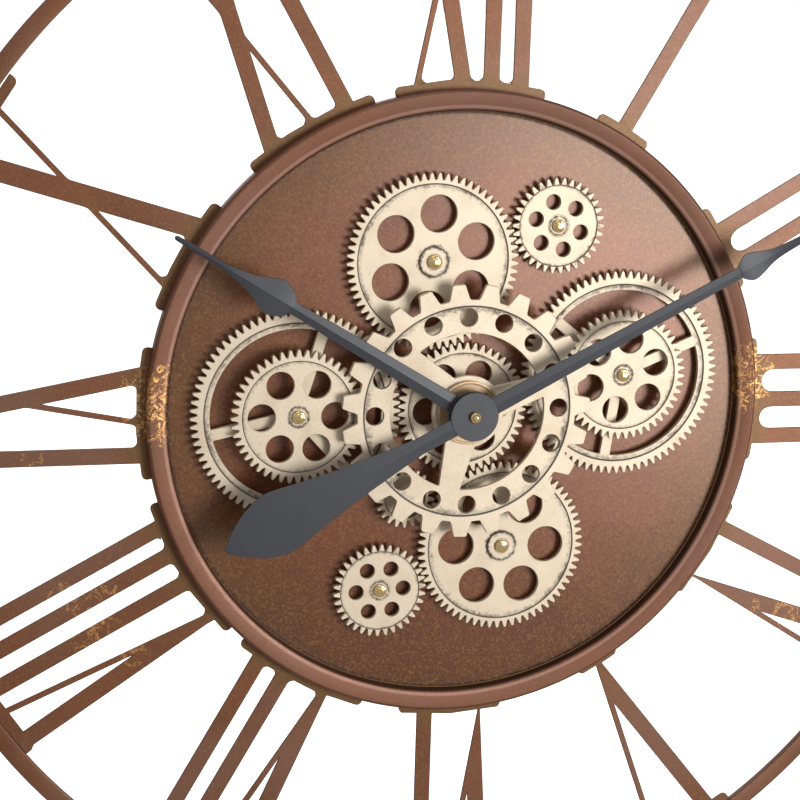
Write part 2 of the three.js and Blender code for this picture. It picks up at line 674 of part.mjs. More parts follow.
// Tabs and feet are measured by the angle on each side of their middle. A foot is as long
// as its tab unless footHalf is given, and tabTurn moves the tab's middle.
const NUMERALS = [
  { hour: 1, tabHalf: 5.4, marks: [upright(0)] },
  { hour: 2, tabHalf: 8.3, lean: 0.5, marks: [upright(12.4), upright(-15.6)], slots: 'round' },
  {
    hour: 3, tabHalf: 11.7, marks: [upright(27.9), upright(-0.4), upright(-28.1)],
    slots: 'round',
  },
  { hour: 4, tabHalf: 9.8, lean: 2.5, marks: [upright(19), vee(-22.6, 9, 4.3)] },
  { hour: 5, tabHalf: 4.2, footHalf: 5.9, marks: [vee(0, 9.6, 9.6, 5)] },
  { hour: 6, tabHalf: 9.8, marks: [vee(22.6, 4.3, 9), upright(-19)] },
  {
    hour: 7, tabHalf: 13, marks: [vee(21.8, 5.6, 4.7, 6.9), upright(-11), upright(-33)],
    slots: 'cornered',
  },
  {
    hour: 8, tabHalf: 13.8, lean: -1.7,
    marks: [vee(38.4, 5.6, 4.7, 6.9), upright(7.2), upright(-16), upright(-37)],
    slots: 'cornered',
  },
  { hour: 9, tabHalf: 11.8, marks: [upright(29), cross(-10.2, 16, 10.8)], slots: 'cornered' },
  {
    hour: 10, tabHalf: 10.4, tabTurn: 1.1, lean: -1.5, marks: [cross(6.3, 21.3, 15.3, 14.7)],
    slots: 'cornered',
  },
  {
    hour: 11, tabHalf: 12.4, marks: [cross(13, -15.9, -11.1), upright(-29)],
    slots: 'cornered',
  },
  {
    hour: 12, tabHalf: 13.8, marks: [cross(22, 15.9, 11.1), upright(-14.5), upright(-36)],
    slots: 'cornered',
  },
];

const STROKE_START = TAB_INNER_R - TRIM;
const STROKE_END = HOOP_INNER_R + TRIM;

// Each mark gives its outline, and its two outer edges from the tab outwards
function stroke(v, slant, width) {
  const slope = Math.tan(radians(slant));
  const half = width / 2 / Math.cos(radians(slant));
  const at = (u) => v + slope * (u - TAB_R);
  const low = [STROKE_START, STROKE_END].map((u) => [u, at(u) - half]);
  const high = [STROKE_START, STROKE_END].map((u) => [u, at(u) + half]);
  return { outline: [low[0], low[1], high[1], high[0]], low, high };
}

// A vee is one outline: its apex, its two outer edges, and the notch between its strokes
function veeStroke({ v, leftSlant, rightSlant, apex }) {
  const left = Math.tan(radians(leftSlant));
  const right = Math.tan(radians(rightSlant));
  const leftWidth = VEE_THICK / Math.cos(radians(leftSlant));
  const rightWidth = VEE_THIN / Math.cos(radians(rightSlant));
  const notch = (leftWidth + rightWidth - apex) / (left + right);
  const reach = STROKE_END - TAB_R;
  const highAt = (u) => v + apex / 2 + left * u;
  const lowAt = (u) => v - apex / 2 - right * u;
  const low = [[TAB_R, lowAt(0)], [STROKE_END, lowAt(reach)]];
  const high = [[TAB_R, highAt(0)], [STROKE_END, highAt(reach)]];
  const outline = [
    [TAB_R - APEX_DEPTH, lowAt(0)],
    ...low,
    [STROKE_END, lowAt(reach) + rightWidth],
    [TAB_R + notch, lowAt(notch) + rightWidth],
    [STROKE_END, highAt(reach) - leftWidth],
    high[1],
    high[0],
    [TAB_R - APEX_DEPTH, highAt(0)],
  ];
  return { outline, low, high };
}

function strokesOf(mark) {
  if (mark.kind === 'upright') {
    return [stroke(mark.v, 0, THICK_STROKE)];
  }
  if (mark.kind === 'cross') {
    return [
      stroke(mark.v - mark.spread, mark.slant, mark.thick),
      stroke(mark.v + mark.spread, -mark.slant, THIN_STROKE),
    ];
  }
  return [veeStroke(mark)];
}

// A shoe lies along the drum or the hoop, with its free face chamfered at both ends
function shoeOutline(faceR, buriedR, half) {
  const inwards = Math.sign(buriedR - faceR);
  const trim = TAB_CHAMFER / faceR * 180 / Math.PI;
  return [
    polar(buriedR, -half),
    polar(faceR + inwards * TAB_CHAMFER, -half),
    ...arc(faceR, trim - half, half - trim, Math.ceil(half / 5)),
    polar(faceR + inwards * TAB_CHAMFER, half),
    polar(buriedR, half),
  ];
}

// The round floor of the slot between two upright strokes, at one end of the slot
function slotFloor(upperV, lowerV, floorU, outwards) {
  const radius = (upperV - lowerV - THICK_STROKE) / 2;
  const middle = (upperV + lowerV) / 2;
  const centreU = floorU + outwards * radius;
  const depth = radius + TRIM / 2;
  const block = rectangle(
    depth, 2 * radius + OVERRUN, centreU - outwards * depth / 2, middle,
  );
  const solid = sheet(block, [], NUMERAL_BACK, NUMERAL_FRONT);
  const round = sheet(
    circle(radius, SHAFT_SIDES, centreU, middle, 180 / SHAFT_SIDES), [],
    NUMERAL_BACK - OVERRUN, NUMERAL_FRONT + OVERRUN,
  );
  return solid.subtract(round);
}

// The rounding in the corner between the tab and the edge of a stroke, on the edge's free
// side: towards +v for side 1 and towards -v for side -1
function slotCorner([start, end], side) {
  const along = end.clone().sub(start).normalize();
  const offset = start.dot(along);
  const reach = Math.sqrt(offset ** 2 - start.lengthSq() + TAB_R ** 2) - offset;
  const corner = start.clone().addScaledVector(along, reach);
  const face = new THREE.Vector2(-corner.y, corner.x).setLength(side);
  const halfAngle = Math.acos(along.dot(face)) / 2;
  const inner = along.clone().add(face).normalize();
  const centre = corner.clone().addScaledVector(inner, SLOT_CORNER / Math.sin(halfAngle));
  const tangent = SLOT_CORNER / Math.tan(halfAngle);
  const from = corner.clone().addScaledVector(along, tangent);
  const to = corner.clone().addScaledVector(face, tangent);
  const round = [1 / 3, 2 / 3].map((share) => (
    from.clone().lerp(to, share).sub(centre).setLength(SLOT_CORNER).add(centre)
  ));
  return [
    corner.clone().addScaledVector(inner, -OVERRUN),
    from,
    ...round,
    to,
    to.clone().addScaledVector(along, -OVERRUN / 2),
  ];
}

function numeral({ tabHalf, footHalf, tabTurn = 0, lean = 0, marks, slots }) {
  const leaned = ([u, v]) => (
    new THREE.Vector2(u, v).rotateAround(new THREE.Vector2(TAB_R, 0), radians(lean))
  );
  const flat = (outline) => sheet(outline, [], NUMERAL_BACK, NUMERAL_FRONT);
  const alongTab = Math.asin(TAB_R * Math.sin(radians(tabHalf)) / FOOT_R) * 180 / Math.PI;
  const foot = shoeOutline(FOOT_R - FOOT_DEPTH, FOOT_R + TRIM, footHalf ?? alongTab);
  let solid = flat(shoeOutline(TAB_R, STROKE_START, tabHalf)).rotate([0, 0, tabTurn]);
  solid = solid.add(flat(foot));
  const strokes = marks.flatMap(strokesOf);
  for (const { outline } of strokes) {
    solid = solid.add(flat(outline.map(leaned)));
  }
  if (slots === 'round') {
    for (let i = 1; i < marks.length; i++) {
      const [upper, lower] = [marks[i - 1].v, marks[i].v];
      solid = solid.add(slotFloor(upper, lower, TAB_R + SLOT_FLOOR, 1));
      solid = solid.add(slotFloor(upper, lower, FOOT_R - FOOT_DEPTH - SLOT_FLOOR, -1));
    }
  }
  if (slots === 'cornered') {
    const rising = strokes.sort((a, b) => a.low[0][1] - b.low[0][1]);
    for (let i = 1; i < rising.length; i++) {
      solid = solid.add(flat(slotCorner(rising[i - 1].high.map(leaned), 1)));
      solid = solid.add(flat(slotCorner(rising[i].low.map(leaned), -1)));
    }
  }
  return solid;
}

function buildNumerals() {
  const [cutBack, cutFront] = [NUMERAL_BACK - OVERRUN, NUMERAL_FRONT + OVERRUN];
  const drumCut = disc(TAB_INNER_R, cutBack, cutFront, DRUM_FACETS);
  const hoopCut = disc(FOOT_R, cutBack, cutFront, DRUM_FACETS);
  for (const design of NUMERALS) {
    const turn = 90 - 30 * design.hour;
    const placed = numeral(design).rotate([0, 0, turn]);
    const name = `numeral_${String(design.hour).padStart(2, '0')}`;
    piece(name, placed.intersect(hoopCut).subtract(drumCut), COPPER);
  }
  const middle = (NUMERAL_BACK + NUMERAL_FRONT) / 2;
  const hoop = tube(
    HOOP_R, HOOP_INNER_R, middle - HOOP_DEPTH / 2, middle + HOOP_DEPTH / 2, DRUM_FACETS,
  );
  piece('outer_hoop', hoop, COPPER);
}

// Drum: shell, bezel, dial and back cover

const coverScrews = holeRing({
  count: COVER_SCREW_COUNT, ringR: DRUM_R - COVER_SCREW_INSET, holeR: COVER_SCREW_R + GAP,
  phase: COVER_SCREW_PHASE, facets: SCREW_SIDES,
});

function buildDrum() {
  const flangeBack = COVER_FRONT + GAP;
  const innerR = DRUM_R - SHELL_WALL;
  const beadFront = DIAL_BACK - GAP;
  const shellFront = RIM_FRONT - BEZEL_SLOPE - BEZEL_SHEET - GAP;
  const shell = turned([
    [DRUM_R - SHELL_FLANGE, flangeBack],
    [DRUM_R, flangeBack],
    [DRUM_R, shellFront],
    [innerR, shellFront],
    [innerR, beadFront],
    [innerR - SHELL_BEAD, beadFront],
    [innerR, beadFront - SHELL_WALL],
    [innerR, flangeBack + SHELL_WALL],
    [DRUM_R - SHELL_FLANGE, flangeBack + SHELL_WALL],
  ], DRUM_FACETS);
  const screwCuts = coverScrews.map((hole) => sheet(hole, [], 0, flangeBack + SHELL_WALL + OVERRUN));
  piece('drum_shell', screwCuts.reduce((solid, cut) => solid.subtract(cut), shell), COPPER);

  const innerTop = RIM_FRONT - BEZEL_SLOPE;
  const bezel = turned([
    [BEZEL_INNER_R, DIAL_FRONT + GAP],
    [BEZEL_INNER_R + BEZEL_SHEET, DIAL_FRONT + GAP],
    [BEZEL_INNER_R + BEZEL_SHEET, innerTop - BEZEL_SHEET],
    [BEZEL_R - BEZEL_SHEET, RIM_FRONT - BEZEL_SHEET - BEZEL_CORNER],
    [BEZEL_R - BEZEL_SHEET, SKIRT_BACK],
    [BEZEL_R, SKIRT_BACK],
    [BEZEL_R, RIM_FRONT - BEZEL_EDGE],
    [BEZEL_R - BEZEL_EDGE, RIM_FRONT],
    [BEZEL_INNER_R, innerTop],
  ], DRUM_FACETS);
  piece('front_bezel', bezel, COPPER);

  const carried = [
    upperGear, upperSmallGear, lowerGear, lowerSmallGear, leftRingGear, rightRingGear,
  ];
  const dialHoles = carried.map(({ x, y }) => circle(AXLE_SHANK_R + GAP, AXLE_SIDES, x, y));
  dialHoles.push(circle(SLEEVE_BORE_R, ROUND_SIDES));
  dialHoles.push(circle(MOTOR_SHAFT_R + 2 * GAP, AXLE_SIDES, drivePinion.x, drivePinion.y));
  piece('dial_plate', sheet(circle(DIAL_R, DRUM_FACETS), dialHoles, DIAL_BACK, DIAL_FRONT), COPPER);

  const hangerWindow = rectangle(
    2 * (KEYHOLE_R + HANGER_WINDOW_MARGIN), KEYHOLE_REACH + KEYHOLE_R + HANGER_WINDOW_MARGIN,
    0, HANG_HEIGHT - KEYHOLE_REACH + 1,
  );
  const movementWindow = MOVEMENT_SIDE + 2 * COVER_WINDOW_MARGIN;
  const holderMargins = 2 * HOLDER_WINDOW_MARGIN;
  const coverHoles = [
    rectangle(movementWindow, movementWindow),
    rectangle(HOLDER_WIDTH + holderMargins, holderHeight() + holderMargins, HOLDER_X, HOLDER_Y),
    hangerWindow,
    ...coverScrews,
  ];
  const cover = sheet(circle(DRUM_R, DRUM_FACETS), coverHoles, WALL_SPACE, COVER_FRONT);
  piece('rear_cover', cover, DARK_STEEL);
  for (let i = 0; i < COVER_SCREW_COUNT; i++) {
    const direction = COVER_SCREW_PHASE + i * 360 / COVER_SCREW_COUNT;
    const place = polar(DRUM_R - COVER_SCREW_INSET, direction);
    const headFront = WALL_SPACE - GAP;
    piece(`rear_cover_screw_${i + 1}`, turned([
      [0, headFront - COVER_SCREW_HEAD],
      [COVER_SCREW_HEAD_R, headFront - COVER_SCREW_HEAD / 2],
      [COVER_SCREW_HEAD_R, headFront],
      [COVER_SCREW_R, headFront],
      [COVER_SCREW_R, headFront + COVER_SCREW_LENGTH],
      [0, headFront + COVER_SCREW_LENGTH],
    ], SCREW_SIDES), STEEL, place.x, place.y);
  }
}

// Wall side: a keyhole hanger on two feet, and two bumpers that hold the drum off the wall
function buildWallSide() {
  const height = HANGER_ABOVE + HANGER_BELOW;
  const middleY = HANG_HEIGHT + (HANGER_ABOVE - HANGER_BELOW) / 2;
  const slotTop = HANG_HEIGHT - KEYHOLE_BELOW_ORIGIN - KEYHOLE_SLOT / 2;
  const keyhole = [
    ...arc(KEYHOLE_SLOT / 2, 0, 180, 4).map((p) => new THREE.Vector2(p.x, p.y + slotTop)),
    ...arc(KEYHOLE_R, 150, 390, 8).map((p) => new THREE.Vector2(p.x, p.y + slotTop - KEYHOLE_REACH)),
  ];
  let hanger = sheet(rectangle(HANGER_WIDTH, height, 0, middleY), [keyhole], 0, HANGER_SHEET);
  const footOffset = (height - HANGER_FOOT) / 2;
  for (const side of [-1, 1]) {
    const foot = rectangle(HANGER_WIDTH, HANGER_FOOT, 0, middleY + side * footOffset);
    hanger = hanger.add(sheet(foot, [], HANGER_SHEET / 2, WALL_SPACE - GAP));
  }
  piece('wall_hanger', hanger, STEEL);
  for (const [side, x] of [['left', -BUMPER_X], ['right', BUMPER_X]]) {
    const bumper = disc(BUMPER_R, 0, WALL_SPACE - GAP, ROUND_SIDES);
    piece(`wall_bumper_${side}`, bumper, RUBBER, x, -BUMPER_DROP);
  }
}

// Time movement: its case hangs on the threaded bushing that passes through the sleeve
function batteryProfile() {
  const bodyEnd = BATTERY_LENGTH - BATTERY_NUB;
  return [
    [0, 0], [BATTERY_R, 0], [BATTERY_R, bodyEnd], [BATTERY_NUB_R, bodyEnd],
    [BATTERY_NUB_R, BATTERY_LENGTH], [0, BATTERY_LENGTH],
  ];
}

function battery() {
  const standing = turned(batteryProfile(), AXLE_SIDES);
  return standing.translate([0, 0, -BATTERY_LENGTH / 2]).rotate([0, 90, 0]);
}

function buildMovement() {
  const front = DIAL_BACK - GAP;
  const back = front - MOVEMENT_DEPTH;
  const bayHeight = 2 * (BATTERY_R + GAP);
  const bayY = -MOVEMENT_SIDE / 2 + BAY_EDGE + bayHeight / 2;
  const bayFront = back + bayHeight - BATTERY_PROUD;
  const bay = sheet(
    rectangle(BATTERY_LENGTH + 2 * GAP, bayHeight, 0, bayY), [], back - OVERRUN, bayFront,
  );
  const box = sheet(
    roundedRectangle(MOVEMENT_SIDE, MOVEMENT_SIDE, CASE_CORNER).getPoints(), [], back, front,
  );
  const bushingFront = NUT_FRONT + BUSHING_PROUD;
  const bushing = disc(BUSHING_R, front - OVERRUN, bushingFront, SLEEVE_SIDES);
  const bore = disc(BUSHING_BORE_R, COG_BACK - GAP, bushingFront + OVERRUN, ROUND_SIDES);
  const stemFront = back + KNOB_STEM;
  const socket = disc(KNOB_STEM_R + GAP, back - OVERRUN, stemFront, AXLE_SIDES);
  const knobSocket = socket.translate([KNOB_X, KNOB_Y, 0]);
  const movement = box.add(bushing).subtract(bore).subtract(bay).subtract(knobSocket);
  piece('movement_case', movement, BLACK_PLASTIC);

  const cell = battery().translate([0, bayY, bayFront - GAP - BATTERY_R]);
  piece('movement_battery', cell, BATTERY_JACKET);
  const knobBack = back - GAP - KNOB_HEIGHT;
  piece('time_set_knob', turned([
    [0, knobBack], [KNOB_R, knobBack], [KNOB_R, back - GAP], [KNOB_STEM_R, back - GAP],
    [KNOB_STEM_R, stemFront - GAP], [0, stemFront - GAP],
  ], ROUND_SIDES), WHITE_PLASTIC, KNOB_X, KNOB_Y);
}

// Battery holder of the gear motor: two cells side by side, and a slide switch at one end
function holderHeight() {
  return 2 * (2 * (BATTERY_R + GAP)) + 3 * HOLDER_WALL;
}

function buildBatteryHolder() {
  const front = DIAL_BACK - GAP;
  const back = front - HOLDER_DEPTH;
  const bayHeight = 2 * (BATTERY_R + GAP);
  const bayLength = BATTERY_LENGTH + 2 * GAP;
  const bayX = -HOLDER_WIDTH / 2 + HOLDER_WALL + bayLength / 2;
  const bayFront = back + bayHeight - BATTERY_PROUD;
  const cellZ = bayFront - GAP - BATTERY_R;
  const bayShift = (bayHeight + HOLDER_WALL) / 2;
  let holder = sheet(rectangle(HOLDER_WIDTH, holderHeight()), [], back, front);
  for (const [i, side] of [1, -1].entries()) {
    const bay = rectangle(bayLength, bayHeight, bayX, side * bayShift);
    holder = holder.subtract(sheet(bay, [], back - OVERRUN, bayFront));
    const cell = battery().rotate([0, 0, i * 180]).translate([bayX, side * bayShift, cellZ]);
    piece(`motor_battery_${i + 1}`, cell, BATTERY_JACKET, HOLDER_X, HOLDER_Y);
  }
  const switchX = (bayX + bayLength / 2 + HOLDER_WIDTH / 2) / 2;
  const slotLength = SWITCH_LENGTH + SWITCH_TRAVEL + 2 * GAP;
  const slot = rectangle(SWITCH_WIDTH + 2 * GAP, slotLength, switchX, 0);
  const slotFront = back + SWITCH_DEPTH;
  holder = holder.subtract(sheet(slot, [], back - OVERRUN, slotFront));
  piece('battery_holder', holder, BLACK_PLASTIC, HOLDER_X, HOLDER_Y);

  const lever = rectangle(SWITCH_WIDTH, SWITCH_LENGTH, switchX, -SWITCH_TRAVEL / 2);
  const leverFront = slotFront - GAP;
  const knob = sheet(lever, [], leverFront - SWITCH_HEIGHT, leverFront);
  piece('gear_switch', knob, WHITE_PLASTIC, HOLDER_X, HOLDER_Y);
}

buildNumerals();
buildDrum();
buildWallSide();
buildCentreWheel();
buildGearTrain();
buildDrive();
buildHands();
buildMovement();
buildBatteryHolder();

// Stand the clock up with the hanging point at the origin
pieces.position.y = -HANG_HEIGHT;
const standing = new THREE.Group();
standing.rotation.x = Math.PI / 2;
standing.add(pieces);

const clock = new THREE.Group();
clock.add(standing);

export default clock;
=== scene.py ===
"""Skeleton wall clock with moving gears: the finished look of its pieces.

Lengths are metres. A piece is drawn in the clock's own plane, x to the right, y up and z off
the wall, about its axle, and is then stood up in the frame, where the dial faces -Y.
"""
import json
import math

import bmesh
import bpy
from bpy.props import FloatProperty, FloatVectorProperty, IntProperty, PointerProperty
from mathutils import Matrix, Vector

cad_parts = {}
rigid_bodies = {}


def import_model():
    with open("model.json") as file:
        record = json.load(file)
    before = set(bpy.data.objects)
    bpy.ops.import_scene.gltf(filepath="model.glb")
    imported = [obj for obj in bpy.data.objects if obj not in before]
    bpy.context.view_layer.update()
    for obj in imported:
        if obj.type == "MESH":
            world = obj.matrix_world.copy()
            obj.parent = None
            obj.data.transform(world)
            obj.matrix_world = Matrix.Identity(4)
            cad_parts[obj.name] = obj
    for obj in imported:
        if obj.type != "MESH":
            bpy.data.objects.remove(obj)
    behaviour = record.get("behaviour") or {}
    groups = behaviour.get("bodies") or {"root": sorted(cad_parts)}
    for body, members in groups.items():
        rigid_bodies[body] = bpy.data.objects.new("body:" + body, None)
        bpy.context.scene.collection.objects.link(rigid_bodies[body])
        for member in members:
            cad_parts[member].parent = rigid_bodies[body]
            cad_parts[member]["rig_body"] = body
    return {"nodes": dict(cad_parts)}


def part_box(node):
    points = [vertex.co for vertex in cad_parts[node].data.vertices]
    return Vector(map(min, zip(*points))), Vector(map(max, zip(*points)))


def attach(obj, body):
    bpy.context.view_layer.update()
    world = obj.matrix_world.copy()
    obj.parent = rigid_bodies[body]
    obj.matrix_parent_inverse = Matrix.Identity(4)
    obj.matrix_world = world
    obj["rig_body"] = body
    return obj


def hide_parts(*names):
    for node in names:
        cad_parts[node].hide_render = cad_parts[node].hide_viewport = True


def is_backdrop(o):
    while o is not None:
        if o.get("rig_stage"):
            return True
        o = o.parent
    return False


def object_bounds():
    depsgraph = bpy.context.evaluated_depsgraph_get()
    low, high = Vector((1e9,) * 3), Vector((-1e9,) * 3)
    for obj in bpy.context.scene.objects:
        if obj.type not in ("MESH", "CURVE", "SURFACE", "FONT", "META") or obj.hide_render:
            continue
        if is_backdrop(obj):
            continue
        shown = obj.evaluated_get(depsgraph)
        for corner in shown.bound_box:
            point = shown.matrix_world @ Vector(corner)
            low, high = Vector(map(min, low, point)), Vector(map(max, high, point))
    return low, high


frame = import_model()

bl_info = {
    "name": "Skeleton wall clock",
    "version": (1, 0, 0),
    "blender": (4, 5, 0),
    "location": "3D View > Sidebar > Clock",
    "description": "Builds the finished pieces of a skeleton wall clock round its frame",
    "category": "Object",
}

MM = 0.001
TURN = 2 * math.pi

# Drawing tolerances. A point nearer the axis than ON_AXIS lies on it, a corner that turns less
# than WIDE_CORNER gets the wide rounding, a rounding takes at most NEAR_HALF of an edge, and a
# long chord whose ends have the same radius follows its circle in short chords. Spikes turn
# back on themselves beside a short side. Edges that turn more than the last two are sharp.
ON_AXIS = 1e-7
WIDE_CORNER = 50
NEAR_HALF = 0.45
SAME_RADIUS = 0.02 * MM
LONG_CHORD = 8 * MM
SHORT_CHORD = 4 * MM
SPIKE, SPIKE_SIDE = 150, 1.2 * MM
TOO_NEAR = 0.6 * MM
SHARP_FACET, SHARP_FOLD = 20, 5


# Places and sizes of the frame's pieces


def axis_height():
    low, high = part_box("front_bezel")
    return (low.z + high.z) / 2


AXIS_Z = axis_height()


def centre_of(node):
    """Where a piece stands in the clock's plane, from the clock's axis."""
    low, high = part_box(node)
    return (low.x + high.x) / 2, (low.z + high.z) / 2 - AXIS_Z


def levels_of(node):
    """The heights of a piece's back and front above the wall."""
    low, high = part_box(node)
    return -high.y, -low.y


def radius_of(node):
    low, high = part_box(node)
    return (high.x - low.x) / 2


def stand(x=0.0, y=0.0):
    """From a piece's own plane to its place in the frame."""
    lift = Matrix.Translation((x, 0, AXIS_Z + y))
    return lift @ Matrix.Rotation(math.pi / 2, 4, "X")


# Sizes and colours that a user would change


def length(label, note, default):
    return FloatProperty(
        name=label, description=note, default=default, min=0, unit="LENGTH", precision=5
    )


def colour(label, note, default):
    return FloatVectorProperty(
        name=label, description=note, default=default, min=0, max=1, size=3, subtype="COLOR"
    )


def facets(label, note, default):
    return IntProperty(name=label, description=note, default=default, min=24, max=512)


class ClockSizes(bpy.types.PropertyGroup):
    """Sizes of the details that the finished pieces add to the frame's."""

    chamfer: length("Gear chamfer", "Width of the soft edge round gears", 0.3 * MM)
    recess: length("Gear recess", "How far a gear's web lies below its toothed rim", 0.5 * MM)
    groove: length("Groove", "Width of the step between a gear's web and its rim", 0.9 * MM)
    sheet_edge: length("Sheet edge", "Width of the soft edge of cut sheet metal", 0.3 * MM)
    case_edge: length("Case edge", "Width of the soft edge of moulded cases", 0.5 * MM)
    tab_corner: length("Tab corner", "Rounding of the wide corners of the numerals", 2.2 * MM)
    lip: length("Bezel lip", "Rounding of the bezel's inner lip", 3 * MM)
    round_steps: facets("Round steps", "Facets round a full circle", 96)
    rim_steps: facets("Rim steps", "Facets round the drum and the hoop", 256)


class ClockColours(bpy.types.PropertyGroup):
    """Colours of the clock's finishes."""

    copper: colour("Copper", "Aged copper of the drum and numerals", (0.172, 0.056, 0.024))
    bronze: colour("Bronze", "Olive bronze shading near the edges", (0.130, 0.065, 0.020))
    flake: colour("Gold flake", "Gold leaf worn into the copper", (0.46, 0.235, 0.08))
    gear: colour("Gear gold", "Champagne gold of the gears", (0.62, 0.52, 0.39))
    patina: colour("Patina", "Dark wash in the gears' grooves", (0.045, 0.038, 0.036))
    slate: colour("Slate", "Grey of the hands", (0.032, 0.033, 0.039))
    collar: colour("Collar", "Copper of the hub collar", (0.50, 0.34, 0.20))
    brass: colour("Brass", "Brass of the axle heads and hand cap", (0.82, 0.66, 0.42))


# Node trees


class Wire:
    """A socket's value. Arithmetic on it adds Math nodes to its tree."""

    def __init__(self, graph, socket):
        self.graph = graph
        self.socket = socket

    def math(self, operation, *values):
        node = self.graph.add(
            "ShaderNodeMath", {"operation": operation}, dict(enumerate(values))
        )
        return node[0]

    def then(self, operation, *values):
        return self.math(operation, self, *values)

    def __add__(self, other):
        return self.math("ADD", self, other)

    __radd__ = __add__

    def __sub__(self, other):
        return self.math("SUBTRACT", self, other)

    def __rsub__(self, other):
        return self.math("SUBTRACT", other, self)

    def __mul__(self, other):
        return self.math("MULTIPLY", self, other)

    __rmul__ = __mul__

    def __truediv__(self, other):
        return self.math("DIVIDE", self, other)

    def __lt__(self, other):
        return self.math("LESS_THAN", self, other)

    def __gt__(self, other):
        return self.math("GREATER_THAN", self, other)

    def __abs__(self):
        return self.math("ABSOLUTE", self)


class Outputs:
    """The outputs of one node, by name or number."""

    def __init__(self, graph, node):
        self.graph = graph
        self.node = node

    def __getitem__(self, key):
        if isinstance(key, int):
            live = [socket for socket in self.node.outputs if socket.enabled]
            return Wire(self.graph, live[key])
        return Wire(self.graph, socket_named(self.node.outputs, key))


def socket_named(sockets, key):
    for socket in sockets:
        if socket.identifier == key:
            return socket
    for socket in sockets:
        if socket.name == key and socket.enabled:
            return socket
    raise KeyError(f"no socket {key!r} in {[socket.name for socket in sockets]}")


class Graph:
    """Adds nodes to a tree, each from its type, its settings and its sockets' values."""

    def __init__(self, tree):
        self.tree = tree

    def add(self, kind, settings=None, sockets=None):
        node = self.tree.nodes.new(kind)
        for name, value in (settings or {}).items():
            if name == "choices":
                while len(node.index_switch_items) < value:
                    node.index_switch_items.new()
            else:
                setattr(node, name, value)
        for key, value in (sockets or {}).items():
            socket = node.inputs[key] if isinstance(key, int) else socket_named(node.inputs, key)
            if isinstance(value, Wire):
                self.tree.links.new(value.socket, socket)
            else:
                socket.default_value = value
        return Outputs(self, node)

    def vector(self, operation, *values):
        return self.add(
            "ShaderNodeVectorMath", {"operation": operation}, dict(enumerate(values))
        )

    def parts(self, vector):
        node = self.add("ShaderNodeSeparateXYZ", None, {0: vector})
        return node[0], node[1], node[2]

    def point(self, x, y, z):
        return self.add("ShaderNodeCombineXYZ", None, {0: x, 1: y, 2: z})[0]

    def distance(self, x, y):
        return (x * x + y * y).then("SQRT")


# Geometry trees


class Shape(Graph):
    """A geometry tree with named inputs."""

    def __init__(self, name, inputs):
        super().__init__(bpy.data.node_groups.new(name, "GeometryNodeTree"))
        face = self.tree.interface
        face.new_socket("Geometry", in_out="INPUT", socket_type="NodeSocketGeometry")
        for label, kind in inputs:
            face.new_socket(label, in_out="INPUT", socket_type=f"NodeSocket{kind}")
        face.new_socket("Geometry", in_out="OUTPUT", socket_type="NodeSocketGeometry")
        self.source = Outputs(self, self.tree.nodes.new("NodeGroupInput"))

    def input(self, label):
        return self.source[label]

    def join(self, *wires):
        node = self.tree.nodes.new("GeometryNodeJoinGeometry")
        for wire in wires:
            self.tree.links.new(wire.socket, node.inputs[0])
        return Wire(self, node.outputs[0])

    def position(self):
        return self.add("GeometryNodeInputPosition")[0]

    def index(self):
        return self.add("GeometryNodeInputIndex")[0]

    def move(self, geometry, position, where=None):
        sockets = {"Geometry": geometry, "Position": position}
        if where is not None:
            sockets["Selection"] = where
        return self.add("GeometryNodeSetPosition", None, sockets)[0]

    def ring(self, radius, steps):
        return self.add(
            "GeometryNodeCurvePrimitiveCircle", {"mode": "RADIUS"},
            {"Resolution": steps, "Radius": radius},
        )[0]

    def choose(self, index, values):
        sockets = {"Index": index}
        sockets.update({i + 1: value for i, value in enumerate(values)})
        return self.add(
            "GeometryNodeIndexSwitch", {"data_type": "FLOAT", "choices": len(values)}, sockets
        )[0]

    def turned_copies(self, geometry, count):
        """Copies of a shape, evenly turned about the axle."""
        spots = self.add("GeometryNodePoints", None, {"Count": count})[0]
        turn = self.point(0.0, 0.0, self.index() * TURN / count)
        copies = self.add(
            "GeometryNodeInstanceOnPoints", None,
            {"Points": spots, "Instance": geometry, "Rotation": turn},
        )[0]
        return self.add("GeometryNodeRealizeInstances", None, {0: copies})[0]

    def finish(self, geometry):
        """Ends the tree with real geometry and its finish."""
        real = self.add("GeometryNodeRealizeInstances", None, {0: geometry})[0]
        coated = self.add(
            "GeometryNodeSetMaterial", None, {"Geometry": real, "Material": self.input("Finish")}
        )[0]
        output = self.tree.nodes.new("NodeGroupOutput")
        self.tree.links.new(coated.socket, output.inputs[0])


WHEEL_INPUTS = [
    ("Teeth", "Int"), ("Turn", "Float"), ("Tip Radius", "Float"), ("Root Radius", "Float"),
    ("Tip Share", "Float"), ("Base Share", "Float"), ("Tip Flat", "Float"),
    ("Corner Height", "Float"), ("Back", "Float"), ("Front", "Float"), ("Recess", "Float"),
    ("Chamfer", "Float"), ("Groove Radius", "Float"), ("Groove Width", "Float"),
    ("Hub Radius", "Float"), ("Bore Radius", "Float"), ("Openings", "Int"), ("Holes", "Int"),
    ("Steps", "Int"),
    ("Wash Radius", "Float"), ("Finish", "Material"),
]
POINTS_PER_TOOTH = 8
WELD = 2e-6


